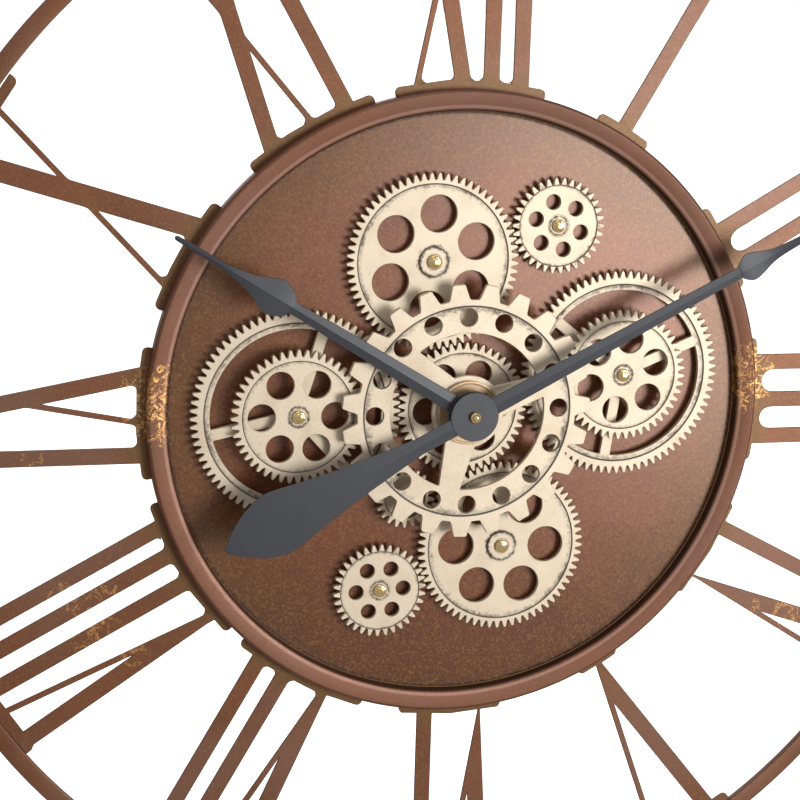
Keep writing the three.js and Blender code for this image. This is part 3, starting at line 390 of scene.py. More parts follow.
def tooth_outline(shape):
    """A circle's points, moved in and out to draw the teeth."""
    teeth = shape.input("Teeth")
    line = shape.ring(1.0, teeth * POINTS_PER_TOOTH)
    index = shape.index()
    tooth = ((index + 0.5) / POINTS_PER_TOOTH).then("FLOOR")
    corner = index - tooth * POINTS_PER_TOOTH
    last = POINTS_PER_TOOTH - 1
    pair = corner.then("MINIMUM", last - corner)
    side = (corner - last / 2).then("SIGN")
    tip, base = shape.input("Tip Share"), shape.input("Base Share")
    rise = shape.input("Corner Height")
    share = shape.choose(pair, [
        base * 1.06,
        base * 0.86 + tip * 0.14,
        base * rise + tip * (1 - rise),
        tip * shape.input("Tip Flat"),
    ])
    height = shape.choose(pair, [0.0, 0.13, 1 - rise, 1.0])
    angle = shape.input("Turn") + (tooth + side * share) * TURN / teeth
    root = shape.input("Root Radius")
    radius = root + (shape.input("Tip Radius") - root) * height
    place = shape.point(radius * angle.then("COSINE"), radius * angle.then("SINE"), 0.0)
    return shape.move(line, place)


def wheel_shape():
    """A toothed wheel: walls, front and back, joined to the turned parts drawn beforehand."""
    shape = Shape("Toothed wheel", WHEEL_INPUTS)
    steps = shape.input("Steps")
    chamfer = shape.input("Chamfer")
    groove, groove_width = shape.input("Groove Radius"), shape.input("Groove Width")
    rest = shape.input("Geometry")
    cuts = []
    for mark, count in (("opening", "Openings"), ("hole", "Holes")):
        marked = shape.add(
            "GeometryNodeInputNamedAttribute", {"data_type": "BOOLEAN"}, {"Name": mark}
        )["Attribute"]
        drawn = shape.add(
            "GeometryNodeSeparateGeometry", {"domain": "POINT"},
            {"Geometry": rest, "Selection": marked},
        )
        rest = drawn["Inverted"]
        line = shape.add("GeometryNodeMeshToCurve", None, {"Mesh": drawn["Selection"]})[0]
        line = shape.turned_copies(line, shape.input(count))
        cuts.append(shape.add("GeometryNodeReverseCurve", None, {"Curve": line})[0])
    outline = tooth_outline(shape)

    tangent = shape.add("GeometryNodeInputTangent")[0]
    inwards = shape.vector("CROSS_PRODUCT", (0.0, 0.0, 1.0), tangent)[0]
    inset = shape.vector("SCALE", inwards).node
    shape.tree.links.new(chamfer.socket, inset.inputs["Scale"])
    loops = shape.add(
        "GeometryNodeStoreNamedAttribute", {"data_type": "FLOAT_VECTOR", "domain": "POINT"},
        {
            "Geometry": shape.join(outline, *cuts), "Name": "inset",
            "Value": Wire(shape, inset.outputs[0]),
        },
    )[0]
    inset_kept = shape.add(
        "GeometryNodeInputNamedAttribute", {"data_type": "FLOAT_VECTOR"}, {"Name": "inset"}
    )["Attribute"]

    def flat(height):
        x, y, _ = shape.parts(shape.position())
        return shape.point(x, y, height)

    def level():
        """The front's height: the web lies lower than the rim outside its groove."""
        x, y, _ = shape.parts(shape.position())
        return shape.input("Front") - shape.input("Recess") * (shape.distance(x, y) < groove)

    edges = shape.add("GeometryNodeCurveToMesh", None, {"Curve": loops})[0]
    edges = shape.move(edges, flat(shape.input("Back")))
    outwards = shape.point(0.0, 0.0, MM)
    wall = shape.add(
        "GeometryNodeExtrudeMesh", {"mode": "EDGES"}, {"Mesh": edges, "Offset": outwards}
    )
    raised = shape.move(wall["Mesh"], flat(level() - chamfer), wall["Top"])
    slope = shape.add(
        "GeometryNodeExtrudeMesh", {"mode": "EDGES"},
        {"Mesh": raised, "Selection": wall["Top"], "Offset": outwards},
    )
    shifted = shape.vector("ADD", shape.position(), inset_kept)[0]
    x, y, _ = shape.parts(shifted)
    walls = shape.move(slope["Mesh"], shape.point(x, y, level()), slope["Top"])

    x, y, _ = shape.parts(shape.vector("ADD", shape.position(), inset_kept)[0])
    front_loops = shape.move(loops, shape.point(x, y, 0.0))
    front = shape.add("GeometryNodeFillCurve", {"mode": "NGONS"}, {"Curve": shape.join(
        front_loops,
        shape.ring(groove + groove_width / 2, steps),
        shape.ring(groove - groove_width / 2, steps),
        shape.ring(shape.input("Hub Radius"), steps),
    )})[0]
    front = shape.move(front, flat(level()))
    back = shape.add("GeometryNodeFillCurve", {"mode": "NGONS"}, {"Curve": shape.join(
        loops, shape.ring(shape.input("Bore Radius"), steps),
    )})[0]
    back = shape.add("GeometryNodeFlipFaces", None, {"Mesh": back})[0]
    back = shape.move(back, flat(shape.input("Back")))

    whole = shape.join(rest, walls, front, back)
    whole = shape.add(
        "GeometryNodeMergeByDistance", None, {"Geometry": whole, "Distance": WELD}
    )[0]
    x, y, _ = shape.parts(shape.position())
    spot = shape.point(x / groove, y / groove, shape.input("Wash Radius") / groove)
    whole = shape.add(
        "GeometryNodeStoreNamedAttribute", {"data_type": "FLOAT_VECTOR", "domain": "POINT"},
        {"Geometry": whole, "Name": "from_axle", "Value": spot},
    )[0]
    shape.finish(whole)
    return shape.tree


def hoop_shape():
    """A flat band with soft corners, swept round a circle."""
    shape = Shape("Hoop", [
        ("Radius", "Float"), ("Band", "Float"), ("Depth", "Float"), ("Corner", "Float"),
        ("Height", "Float"), ("Steps", "Int"), ("Finish", "Material"),
    ])
    path = shape.ring(shape.input("Radius"), shape.input("Steps"))
    section = shape.add(
        "GeometryNodeCurvePrimitiveQuadrilateral", {"mode": "RECTANGLE"},
        {"Width": shape.input("Band"), "Height": shape.input("Depth")},
    )[0]
    section = shape.add(
        "GeometryNodeFilletCurve", {"mode": "POLY"},
        {"Curve": section, "Count": 4, "Radius": shape.input("Corner")},
    )[0]
    band = shape.add(
        "GeometryNodeCurveToMesh", None, {"Curve": path, "Profile Curve": section}
    )[0]
    x, y, z = shape.parts(shape.position())
    shape.finish(shape.move(band, shape.point(x, y, z + shape.input("Height"))))
    return shape.tree


def repeat_shape():
    """Equal parts, drawn once, set out round a circle."""
    shape = Shape("Set round a circle", [("Count", "Int"), ("Finish", "Material")])
    shape.finish(shape.turned_copies(shape.input("Geometry"), shape.input("Count")))
    return shape.tree


def grown(tree, drawing, values):
    """The plain mesh that a geometry tree makes of a drawing."""
    holder = bpy.data.objects.new("drawing", drawing)
    bpy.context.scene.collection.objects.link(holder)
    modifier = holder.modifiers.new("shape", "NODES")
    modifier.node_group = tree
    for item in tree.interface.items_tree:
        if item.in_out == "INPUT" and item.name in values:
            modifier[item.identifier] = values[item.name]
    view = bpy.context.evaluated_depsgraph_get()
    mesh = bpy.data.meshes.new_from_object(holder.evaluated_get(view), depsgraph=view)
    bpy.data.objects.remove(holder)
    bpy.data.meshes.remove(drawing)
    return mesh


# Drawings


def polar(radius, degrees):
    angle = math.radians(degrees)
    return radius * math.cos(angle), radius * math.sin(angle)


def arc(radius, start, end, steps):
    return [polar(radius, start + (end - start) * i / steps) for i in range(steps + 1)]


def circle(radius, steps, x=0.0, y=0.0):
    return [(x + px, y + py) for px, py in arc(radius, 0, 360, steps)[:-1]]


def bend(before, corner, after):
    """How many degrees a line turns at a corner."""
    first, second = corner - before, after - corner
    if first.length == 0 or second.length == 0:
        return 0.0
    return math.degrees(first.angle(second))


def softened(points, radius, closed=False, gentlest=25, steps=4, wide=None):
    """A line with its corners rounded, and its wide corners rounded by their own radius."""
    line = [Vector(point) for point in points]
    rounded = []
    for i, corner in enumerate(line):
        before, after = line[i - 1], line[(i + 1) % len(line)]
        at_end = not closed and i in (0, len(line) - 1)
        turn = 0.0 if at_end else bend(before, corner, after)
        if turn < gentlest:
            rounded.append(corner)
            continue
        reach = wide if wide and turn < WIDE_CORNER else radius
        first, second = before - corner, after - corner
        start = corner + first.normalized() * min(reach, first.length * NEAR_HALF)
        end = corner + second.normalized() * min(reach, second.length * NEAR_HALF)
        for k in range(steps + 1):
            t = k / steps
            rounded.append(start * (1 - t) ** 2 + corner * 2 * t * (1 - t) + end * t ** 2)
    return [tuple(point) for point in rounded]


def rounded_box(width, height, corner, x=0.0, y=0.0):
    """A rectangle about (x, y) with round corners."""
    left, right, low, high = x - width / 2, x + width / 2, y - height / 2, y + height / 2
    box = [(left, low), (right, low), (right, high), (left, high)]
    return softened(box, corner, closed=True, steps=6)


def curve_through(points, steps):
    """A smooth line through points, with the same number of steps between each two."""
    line = [Vector(point) for point in points]
    curve = []
    for i in range(len(line) - 1):
        a, b = line[max(i - 1, 0)], line[i]
        c, d = line[i + 1], line[min(i + 2, len(line) - 1)]
        for k in range(steps):
            t = k / steps
            bow = (c - a) * t + (2 * a - 5 * b + 4 * c - d) * t ** 2
            bow = bow + (3 * b - 3 * c + d - a) * t ** 3
            curve.append(tuple(b + bow / 2))
    return curve + [tuple(line[-1])]


def turned(profile, steps, closed=True):
    """Points and faces of a profile of (radius, height) turned about the axle."""
    points, rows, faces = [], [], []
    for radius, height in profile:
        if radius < ON_AXIS:
            rows.append([len(points)] * steps)
            points.append((0.0, 0.0, height))
            continue
        rows.append(list(range(len(points), len(points) + steps)))
        for i in range(steps):
            angle = TURN * i / steps
            points.append((radius * math.cos(angle), radius * math.sin(angle), height))
    pairs = list(zip(rows, rows[1:]))
    if closed and profile[0][0] > ON_AXIS:
        pairs.append((rows[-1], rows[0]))
    for low, high in pairs:
        for i in range(steps):
            following = (i + 1) % steps
            face = [low[i], low[following], high[following], high[i]]
            face = [corner for k, corner in enumerate(face) if corner != face[k - 1]]
            if len(set(face)) > 2:
                faces.append(face)
    return points, faces


def prism(outline, back, front):
    """Points and faces of a flat piece between two heights."""
    count = len(outline)
    points = [(x, y, height) for height in (back, front) for x, y in outline]
    faces = [list(range(count))[::-1], list(range(count, 2 * count))]
    for i in range(count):
        following = (i + 1) % count
        faces.append([i, following, count + following, count + i])
    return points, faces


def block(width, height, back, front, x=0.0, y=0.0):
    corners = [(-1, -1), (1, -1), (1, 1), (-1, 1)]
    return prism([(x + i * width / 2, y + j * height / 2) for i, j in corners], back, front)


def moved(solid, x, y):
    points, faces = solid
    return [(px + x, py + y, pz) for px, py, pz in points], faces


def mesh_of(solid):
    mesh = bpy.data.meshes.new("solid")
    mesh.from_pydata(solid[0], [], solid[1])
    return mesh


def drawing_of(strips, opening=(), hole=()):
    """A mesh of turned strips, and of outlines for a tree to cut and repeat."""
    points, faces, edges = [], [], []
    for strip_points, strip_faces in strips:
        start = len(points)
        points += strip_points
        faces += [[start + corner for corner in face] for face in strip_faces]
    spans = {}
    for mark, outline in (("opening", opening), ("hole", hole)):
        start, count = len(points), len(outline)
        points += [(x, y, 0.0) for x, y in outline]
        edges += [(start + i, start + (i + 1) % count) for i in range(count)]
        spans[mark] = range(start, start + count)
    mesh = bpy.data.meshes.new("drawing")
    mesh.from_pydata(points, edges, faces)
    for mark, span in spans.items():
        marks = mesh.attributes.new(mark, "BOOLEAN", "POINT")
        marks.data.foreach_set("value", [i in span for i in range(len(points))])
    return mesh


# Finished pieces


def settle(mesh, matrix=None, sharp=35):
    """Welds a mesh, points its faces outwards, smooths it and puts it in its place."""
    if matrix is not None:
        mesh.transform(matrix)
    body = bmesh.new()
    body.from_mesh(mesh)
    bmesh.ops.remove_doubles(body, verts=body.verts, dist=WELD)
    loose = [edge for edge in body.edges if not edge.link_faces]
    bmesh.ops.delete(body, geom=loose, context="EDGES")
    bmesh.ops.recalc_face_normals(body, faces=body.faces)
    body.to_mesh(mesh)
    body.free()
    mesh.shade_smooth()
    mesh.set_sharp_from_angle(angle=math.radians(sharp))
    return mesh


def show(name, mesh, finish, *nodes):
    """A finished piece that stands for some of the frame's nodes and moves with them."""
    material, slot = finish
    mesh.name = name
    mesh.materials.clear()
    mesh.materials.append(made(material))
    piece = bpy.data.objects.new(name, mesh)
    bpy.context.scene.collection.objects.link(piece)
    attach(piece, frame["nodes"][nodes[0]]["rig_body"])
    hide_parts(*nodes)
    return piece


def dressed(node, mesh, finish, at=(0.0, 0.0), sharp=35):
    """The finished piece of one node, from a mesh drawn about a place of the clock."""
    return show(f"{node}_dressed", settle(mesh, stand(*at), sharp), finish, node)


def turned_piece(node, profile, finish, soft=0.3 * MM, steps=None):
    """A turned piece in the place of one node; heights are above the wall."""
    sizes = bpy.context.scene.clock_sizes
    line = softened(profile, soft, closed=profile[0][0] > ON_AXIS)
    mesh = mesh_of(turned(line, steps or sizes.round_steps))
    return dressed(node, mesh, finish, centre_of(node))


def outlines_of(node):
    """The outlines of a flat piece's front face, with its material on their left."""
    body = bmesh.new()
    body.from_mesh(frame["nodes"][node].data)
    bmesh.ops.remove_doubles(body, verts=body.verts, dist=WELD)
    front = min(vert.co.y for vert in body.verts)
    following = {}
    for face in body.faces:
        if any(vert.co.y > front + WELD for vert in face.verts):
            continue
        for loop in face.loops:
            other = loop.link_loop_radial_next.face
            if any(vert.co.y > front + WELD for vert in other.verts):
                following[loop.vert] = loop.link_loop_next.vert
    outlines = []
    while following:
        vert = next(iter(following))
        outline = []
        while vert in following:
            outline.append((vert.co.x, vert.co.z - AXIS_Z))
            vert = following.pop(vert)
        outlines.append(outline)
    body.free()
    return outlines


def rounder(outline):
    """An outline whose long chords of a circle about the axis follow that circle."""
    line = []
    for i, start in enumerate(outline):
        end = outline[(i + 1) % len(outline)]
        line.append(start)
        near, far = math.hypot(*start), math.hypot(*end)
        chord = math.hypot(end[0] - start[0], end[1] - start[1])
        if abs(near - far) > SAME_RADIUS or chord < LONG_CHORD:
            continue
        steps = math.ceil(chord / SHORT_CHORD)
        for k in range(1, steps):
            x, y = (start[j] + (end[j] - start[j]) * k / steps for j in (0, 1))
            line.append((x * near / math.hypot(x, y), y * near / math.hypot(x, y)))
    return line


def straighter(outline, least=0.3):
    """An outline without the points at which it doesn't turn."""
    line = [Vector(point) for point in outline]
    kept = [
        corner for i, corner in enumerate(line)
        if bend(line[i - 1], corner, line[(i + 1) % len(line)]) > least
    ]
    return [tuple(point) for point in kept]


def tidied(outline):
    """An outline without spikes, and without points that stand too near one another."""
    line = [Vector(point) for point in outline]
    kept = []
    while len(kept) != len(line):
        kept = line
        line = []
        for i, corner in enumerate(kept):
            before, after = kept[i - 1], kept[(i + 1) % len(kept)]
            side = min((corner - before).length, (corner - after).length)
            if side > SPIKE_SIDE or bend(before, corner, after) < SPIKE:
                line.append(corner)
        line = [
            corner for i, corner in enumerate(line)
            if (corner - line[i - 1]).length > TOO_NEAR
        ]
    return [tuple(point) for point in line]


def inset(outline, depth):
    """An outline moved to its left, which is into the material."""
    line = [Vector(point) for point in outline]
    shifted = []
    for i, corner in enumerate(line):
        first = (corner - line[i - 1]).normalized()
        second = (line[(i + 1) % len(line)] - corner).normalized()
        middle = (first.orthogonal() + second.orthogonal()).normalized()
        reach = depth / max(middle.dot(second.orthogonal()), 0.3)
        shifted.append(tuple(corner + middle * reach))
    return shifted


def cut_sheet(outlines, back, front, edge):
    """A mesh of a flat sheet with soft edges, from its outer outline and its holes'."""
    body = bmesh.new()
    for outline in outlines:
        narrow = inset(outline, edge)
        levels = [(narrow, back), (outline, back + edge), (outline, front - edge), (narrow, front)]
        rows = [
            [body.verts.new((x, y, height)) for x, y in line] for line, height in levels
        ]
        for low, high in zip(rows, rows[1:]):
            for i in range(len(outline)):
                body.faces.new((low[i - 1], low[i], high[i], high[i - 1]))
    for height in (back, front):
        rim = [
            side for side in body.edges
            if all(abs(vert.co.z - height) < WELD / 2 for vert in side.verts)
        ]
        bmesh.ops.triangle_fill(body, edges=rim, use_beauty=True)
    mesh = bpy.data.meshes.new("sheet")
    body.to_mesh(mesh)
    body.free()
    return mesh


def carved(solids, cuts=(), edge=0.0):
    """A mesh of solids joined into one, with others cut from it, and soft edges."""
    scene = bpy.context.scene
    objects = []
    for solid in (*solids, *cuts):
        item = bpy.data.objects.new("solid", settle(mesh_of(solid)))
        scene.collection.objects.link(item)
        objects.append(item)
    base = objects[0]
    for i, tool in enumerate(objects[1:], start=1):
        carve = base.modifiers.new("carve", "BOOLEAN")
        carve.operation = "UNION" if i < len(solids) else "DIFFERENCE"
        carve.object = tool
        carve.solver = "EXACT"
    if edge:
        bevel = base.modifiers.new("edge", "BEVEL")
        bevel.width = edge
        bevel.segments = 2
        bevel.limit_method = "ANGLE"
        bevel.angle_limit = math.radians(35)
    view = bpy.context.evaluated_depsgraph_get()
    mesh = bpy.data.meshes.new_from_object(base.evaluated_get(view), depsgraph=view)
    for item in objects:
        drawn = item.data
        bpy.data.objects.remove(item)
        bpy.data.meshes.remove(drawn)
    return mesh


# Finishes


class Finish(Graph):
    """A material whose patterns read where a point lies on the clock."""

    def __init__(self, name):
        self.material = bpy.data.materials.new(name)
        self.material.use_nodes = True
        super().__init__(self.material.node_tree)
        self.tree.nodes.clear()
        self.place = self.add("ShaderNodeTexCoord")["Object"]

    def noise(self, scale, detail=3.0, roughness=0.55, distortion=0.0):
        return self.add(
            "ShaderNodeTexNoise", None,
            {
                "Vector": self.place, "Scale": scale, "Detail": detail,
                "Roughness": roughness, "Distortion": distortion,
            },
        )["Fac"]

    def ramp(self, value, low, high, start=0.0, end=1.0):
        """Smoothly from start to end as the value goes from low to high."""
        return self.add(
            "ShaderNodeMapRange", {"interpolation_type": "SMOOTHSTEP"},
            {"Value": value, "From Min": low, "From Max": high, "To Min": start, "To Max": end},
        )[0]

    def mix(self, share, first, second):
        def tone(value):
            return value if isinstance(value, Wire) else (*value, 1.0)
        return self.add(
            "ShaderNodeMix", {"data_type": "RGBA"},
            {"Factor_Float": share, "A_Color": tone(first), "B_Color": tone(second)},
        )["Result_Color"]

    def from_axis(self):
        """Distance from the clock's axis."""
        x, _, z = self.parts(self.place)
        return self.distance(x, z - AXIS_Z)

    def near(self, x, y, reach):
        """1 at a spot of the clock's face, and 0 beyond its reach."""
        spot = self.vector("SUBTRACT", self.place, (x * MM, 0.0, AXIS_Z + y * MM))[0]
        across, _, up = self.parts(spot)
        return self.ramp(self.distance(across, up), reach * MM, reach * MM * 0.35)

    def near_any(self, spots):
        mask = None
        for spot in spots:
            one = self.near(*spot)
            mask = one if mask is None else mask.then("MAXIMUM", one)
        return mask

    def bump(self, height, strength, distance):
        return self.add(
            "ShaderNodeBump", None,
            {"Height": height, "Strength": strength, "Distance": distance},
        )["Normal"]

    def surface(self, **sockets):
        names = {
            "color": "Base Color", "roughness": "Roughness", "metallic": "Metallic",
            "coat": "Coat Weight", "coat_roughness": "Coat Roughness", "normal": "Normal",
            "glow": "Emission Color",
        }
        values = {"Emission Strength": 1.0} if "glow" in sockets else {}
        for key, value in sockets.items():
            if key == "color" and not isinstance(value, Wire):
                value = (*value, 1.0)
            values[names[key]] = value
        shader = self.add("ShaderNodeBsdfPrincipled", None, values)["BSDF"]
        self.add("ShaderNodeOutputMaterial", None, {"Surface": shader})
        return self.material


def shaded(tone, share):
    """A colour made lighter or darker."""
    return [min(1, part * share) for part in tone]


# Gold marks as (x, y, reach) on the clock's face, in millimetres
RIM_MARKS = [(-217, 8, 36), (217, 18, 33)]
NUMERAL_MARKS = [
    (-279, -128, 15), (-262, -132, 17), (-249, -127, 12), (-262, -155, 18), (-249, -147, 13),
    (-231, -171, 12), (265, -167, 16), (236, -161, 9), (256, -182, 8), (-300, -29, 10),
]


def aged_copper():
    """Brown copper lacquer with fine gold grain, olive tabs and worn gold marks; painted rim shade
    and highlights.
    """
    finish = Finish("aged copper")
    tones = colours()
    cloud = finish.noise(16, 5, 0.6)
    drift = finish.noise(6, 2)
    grain = finish.noise(650, 2, 0.6)
    away = finish.from_axis()
    base = finish.mix(finish.ramp(cloud, 0.35, 0.7), tones.copper, shaded(tones.copper, 0.75))
    # A lighter mauve mixed in at random: partly the copper's own uneven tone, partly painted sheen
    mauve_tone_and_sheen = [part * 0.75 + 0.042 for part in tones.copper]
    base = finish.mix(finish.ramp(drift, 0.40, 0.60) * 0.75, base, mauve_tone_and_sheen)
    tab = finish.ramp(away, 0.2244, 0.2250) * finish.ramp(away, 0.244, 0.230)
    patchy = finish.ramp(finish.noise(30, 3), 0.3, 0.65, 0.2, 0.75)
    base = finish.mix(tab * 0.85 + (1 - tab) * patchy * 0.3, base, tones.bronze)
    speck = finish.ramp(grain, 0.48, 0.70)
    base = finish.mix(speck * 0.4, base, shaded(tones.bronze, 2.0))
    # Painted shade: the rim's inner wall, facing away from the key, is painted as dark as it looks
    # beside its bright lip
    wall = finish.ramp(away, 0.2108, 0.2099) * (away > 0.2091)
    base = finish.mix(wall * 0.85, base, shaded(tones.copper, 0.12))
    face = finish.ramp(away, 0.2128, 0.2142) * finish.ramp(away, 0.2244, 0.2236)
    base = finish.mix(face * 0.6, base, shaded(tones.copper, 0.62))
    # Painted highlight: the rolled inner lip is painted lighter, standing for the light it catches
    lip = finish.ramp(away, 0.2108, 0.2114) * finish.ramp(away, 0.2140, 0.2128)
    base = finish.mix(lip * 0.7, base, [part + 0.07 for part in tones.copper])
    # Painted highlight: the bead at the wall's foot is painted a light gold, standing for the thin
    # line of light it catches
    foot = finish.ramp(away, 0.2092, 0.2089) * (away > 0.2)
    base = finish.mix(foot, base, shaded(tones.flake, 0.8))

    torn = finish.noise(190, 8, 0.72, 1.2)
    rim = finish.near_any(RIM_MARKS)
    wash = finish.ramp(torn, 0.42, 0.58) * rim * 0.5
    base = finish.mix(wash, base, shaded(tones.bronze, 0.7))
    flakes = finish.ramp(torn + rim * 0.08, 0.60, 0.66) * finish.ramp(rim, 0.02, 0.3)
    wrinkle = finish.noise(62, 6, 0.68, 0.9)
    vein = finish.ramp(abs(wrinkle - 0.5), 0.022, 0.006)
    sparse = finish.ramp(finish.noise(24, 2), 0.70, 0.76)
    marks = finish.near_any(NUMERAL_MARKS).then("MAXIMUM", sparse * (away > 0.23))
    marks = marks.then("MAXIMUM", rim)
    veins = vein * finish.ramp(marks * (torn + 0.5), 0.2, 0.5) * finish.ramp(torn, 0.40, 0.52)
    chips = finish.ramp(torn, 0.66, 0.70) * finish.ramp(marks, 0.2, 0.8)
    leaf = flakes.then("MAXIMUM", veins).then("MAXIMUM", chips * 0.8)
    base = finish.mix(leaf, base, shaded(tones.flake, 1.25))
    return finish.surface(
        color=base, roughness=0.36 + finish.noise(260, 2) * 0.12 - leaf * 0.05,
        metallic=0.4 + leaf * 0.3, normal=finish.bump(grain, 0.25, 0.00012),
    )


def dial_copper():
    """Glossy dark copper of the dial, olive towards its edge, with painted shade at its foot and
    rim.
    """
    finish = Finish("dial copper")
    tones = colours()
    cloud = finish.noise(10, 4, 0.6)
    grain = finish.noise(650, 2, 0.6)
    base = finish.mix(
        finish.ramp(cloud, 0.35, 0.7), shaded(tones.copper, 0.95), shaded(tones.copper, 0.75)
    )
    away = finish.from_axis()
    shade = finish.ramp(away + cloud * 0.04, 0.170, 0.225)
    base = finish.mix(shade * 0.55, base, shaded(tones.bronze, 0.75))
    # Painted shade: darker towards the dial's foot, where less light falls
    up = finish.parts(finish.place)[2]
    foot = finish.ramp(up, AXIS_Z - 0.08, AXIS_Z - 0.19)
    base = finish.mix(foot * 0.6, base, shaded(tones.copper, 0.45))
    # Painted shade: dark in the corner below the rim, where the rim's wall shades the dial
    corner = finish.ramp(away, 0.2060, 0.2082)
    base = finish.mix(corner * 0.8, base, shaded(tones.copper, 0.15))
    speck = finish.ramp(grain, 0.48, 0.68)
    base = finish.mix(speck * 0.4, base, shaded(tones.bronze, 2.2))
    return finish.surface(
        color=base, roughness=0.26 + grain * 0.04 + corner * 0.3,
        metallic=0.2, normal=finish.bump(grain, 0.22, 0.0001),
    )


def gear_gold():
    """Champagne gold with a dark wash in the grooves and round the hubs."""
    finish = Finish("champagne gear gold")
    tones = colours()
    spot = finish.add("ShaderNodeAttribute", {"attribute_name": "from_axle"})["Vector"]
    x, y, wash = finish.parts(spot)
    away = finish.distance(x, y)
    streak = finish.noise(380, 4, 0.7)
    cloud = finish.noise(45, 4, 0.6)
    fine = finish.noise(1500, 2, 0.6)
    ragged = (streak - 0.5) * 0.22
    line = finish.ramp(abs(away - 1.0), 0.014, 0.004)
    inside = finish.ramp(away + ragged, 0.93, 1.0) * finish.ramp(away, 1.01, 0.998)
    hub = finish.ramp(abs(away - wash) + ragged * 0.6, 0.04, 0.0)
    pits = finish.ramp(finish.noise(420, 3, 0.75), 0.68, 0.76)
    uneven = 0.3 + finish.ramp(cloud, 0.4, 0.65) * 0.5
    stain = (line * 0.85).then("MAXIMUM", inside * uneven)
    stain = stain.then("MAXIMUM", hub * 0.85)
    stain = stain.then("MAXIMUM", pits * 0.65)
    worn = finish.ramp(cloud, 0.42, 0.72) * 0.22 + finish.ramp(fine, 0.45, 0.7) * 0.3
    brown = [tones.gear[0] * 0.55, tones.gear[1] * 0.45, tones.gear[2] * 0.35]
    base = finish.mix(worn, tones.gear, brown)
    base = finish.mix(stain, base, tones.patina)
    return finish.surface(
        color=base, roughness=0.42 + stain * 0.2 + fine * 0.1, metallic=0.4,
        normal=finish.bump(fine, 0.2, 0.0001),
    )


def plain_metal(name, tone, roughness=0.3, metallic=0.95, scale=350):
    """Bare or painted metal with faint brushing and wear."""
    finish = Finish(name)
    speck = finish.noise(scale, 3, 0.6)
    cloud = finish.noise(60, 3)
    base = finish.mix(finish.ramp(cloud, 0.3, 0.75) * 0.3, tone, shaded(tone, 0.7))
    base = finish.mix(finish.ramp(speck, 0.5, 0.8) * 0.25, base, shaded(tone, 1.5))
    return finish.surface(
        color=base, roughness=roughness + (speck - 0.5) * 0.1, metallic=metallic,
        normal=finish.bump(speck, 0.12, 0.00008),
    )


def plastic(name, tone, roughness=0.5):
    """Moulded plastic with a fine texture."""
    finish = Finish(name)
    fine = finish.noise(1600, 2, 0.6)
    cloud = finish.noise(40, 3)
    base = finish.mix(finish.ramp(cloud, 0.3, 0.7) * 0.2, tone, shaded(tone, 0.85))
    return finish.surface(
        color=base, roughness=roughness + (fine - 0.5) * 0.15, metallic=0.0,
        normal=finish.bump(fine, 0.25, 0.0001),
    )


def battery_jacket():
    """Printed film with a gold band, between bare metal ends."""
    finish = Finish("battery jacket")
    along = finish.add("ShaderNodeAttribute", {"attribute_name": "along"})["Fac"]
    scuff = finish.noise(200, 4, 0.6)
    film = (0.05, 0.075, 0.06)
    base = finish.mix(finish.ramp(scuff, 0.6, 0.8) * 0.3, film, shaded(film, 2))
    base = finish.mix(finish.ramp(along, 0.795, 0.8), base, (0.55, 0.36, 0.12))
    bare = finish.ramp(along, 0.96, 0.965).then("MAXIMUM", finish.ramp(along, 0.012, 0.008))
    base = finish.mix(bare, base, (0.6, 0.6, 0.58))
    return finish.surface(color=base, roughness=0.3, metallic=0.3 + bare * 0.65)


def colours():
    return bpy.context.scene.clock_colours


COPPER = ("aged copper", "aged_copper")
DIAL = ("dial copper", "aged_copper")
GOLD = ("champagne gear gold", "champagne_gear")
COLLAR = ("collar copper", "copper_collar")
SLATE = ("slate paint", "slate_hand")
BRASS = ("brass", "brass")
STEEL = ("zinc plated steel", "bright_steel")
BLACK_STEEL = ("black steel", "black_steel")
BLACK_PLASTIC = ("black plastic", "black_plastic")
WHITE_PLASTIC = ("white plastic", "white_plastic")
RUBBER = ("bumper rubber", "bumper_rubber")
JACKET = ("battery jacket", "battery_jacket")


def made(name):
    """One of the clock's finishes, made once."""
    kept = bpy.data.materials.get(name)
    if kept:
        return kept
    tones = colours()
    makers = {
        "aged copper": aged_copper,
        "dial copper": dial_copper,
        "champagne gear gold": gear_gold,
        "battery jacket": battery_jacket,
        "slate paint": lambda: plain_metal(name, tones.slate, 0.40, 0.1, 900),
        "collar copper": lambda: plain_metal(name, tones.collar, 0.4, 0.5),
        "brass": lambda: plain_metal(name, tones.brass, 0.32, 0.7),
        "zinc plated steel": lambda: plain_metal(name, (0.55, 0.55, 0.56)),
        "black steel": lambda: plain_metal(name, (0.035, 0.033, 0.032), 0.45, 0.4),
        "black plastic": lambda: plastic(name, (0.018, 0.018, 0.02)),
        "white plastic": lambda: plastic(name, (0.68, 0.66, 0.6), 0.42),
        "bumper rubber": lambda: plastic(name, (0.03, 0.027, 0.025), 0.8),
    }
    return makers[name]()


# Places that several pieces share

GAP = 0.3 * MM
AXLES = ("upper", "lower", "upper_small", "lower_small", "left", "right")
SHEET = 1.5 * MM
SHANK_R = 2.6 * MM
BUSHING_R = 4.2 * MM
SLEEVE_R = 8 * MM
TUBE_R = 2.6 * MM
MINUTE_SHAFT_R = 1.6 * MM
MOTOR_SHAFT_R = 2 * MM
HOLDER_WIDTH, HOLDER_HEIGHT = 68 * MM, 33.8 * MM
MOVEMENT_SIDE = 56 * MM
CELL_LENGTH, CELL_R = 50.5 * MM, 7.1 * MM


def disc(radius, back, front, steps=64):
    return turned([(0.0, back), (radius, back), (radius, front), (0.0, front)], steps)


# Operators


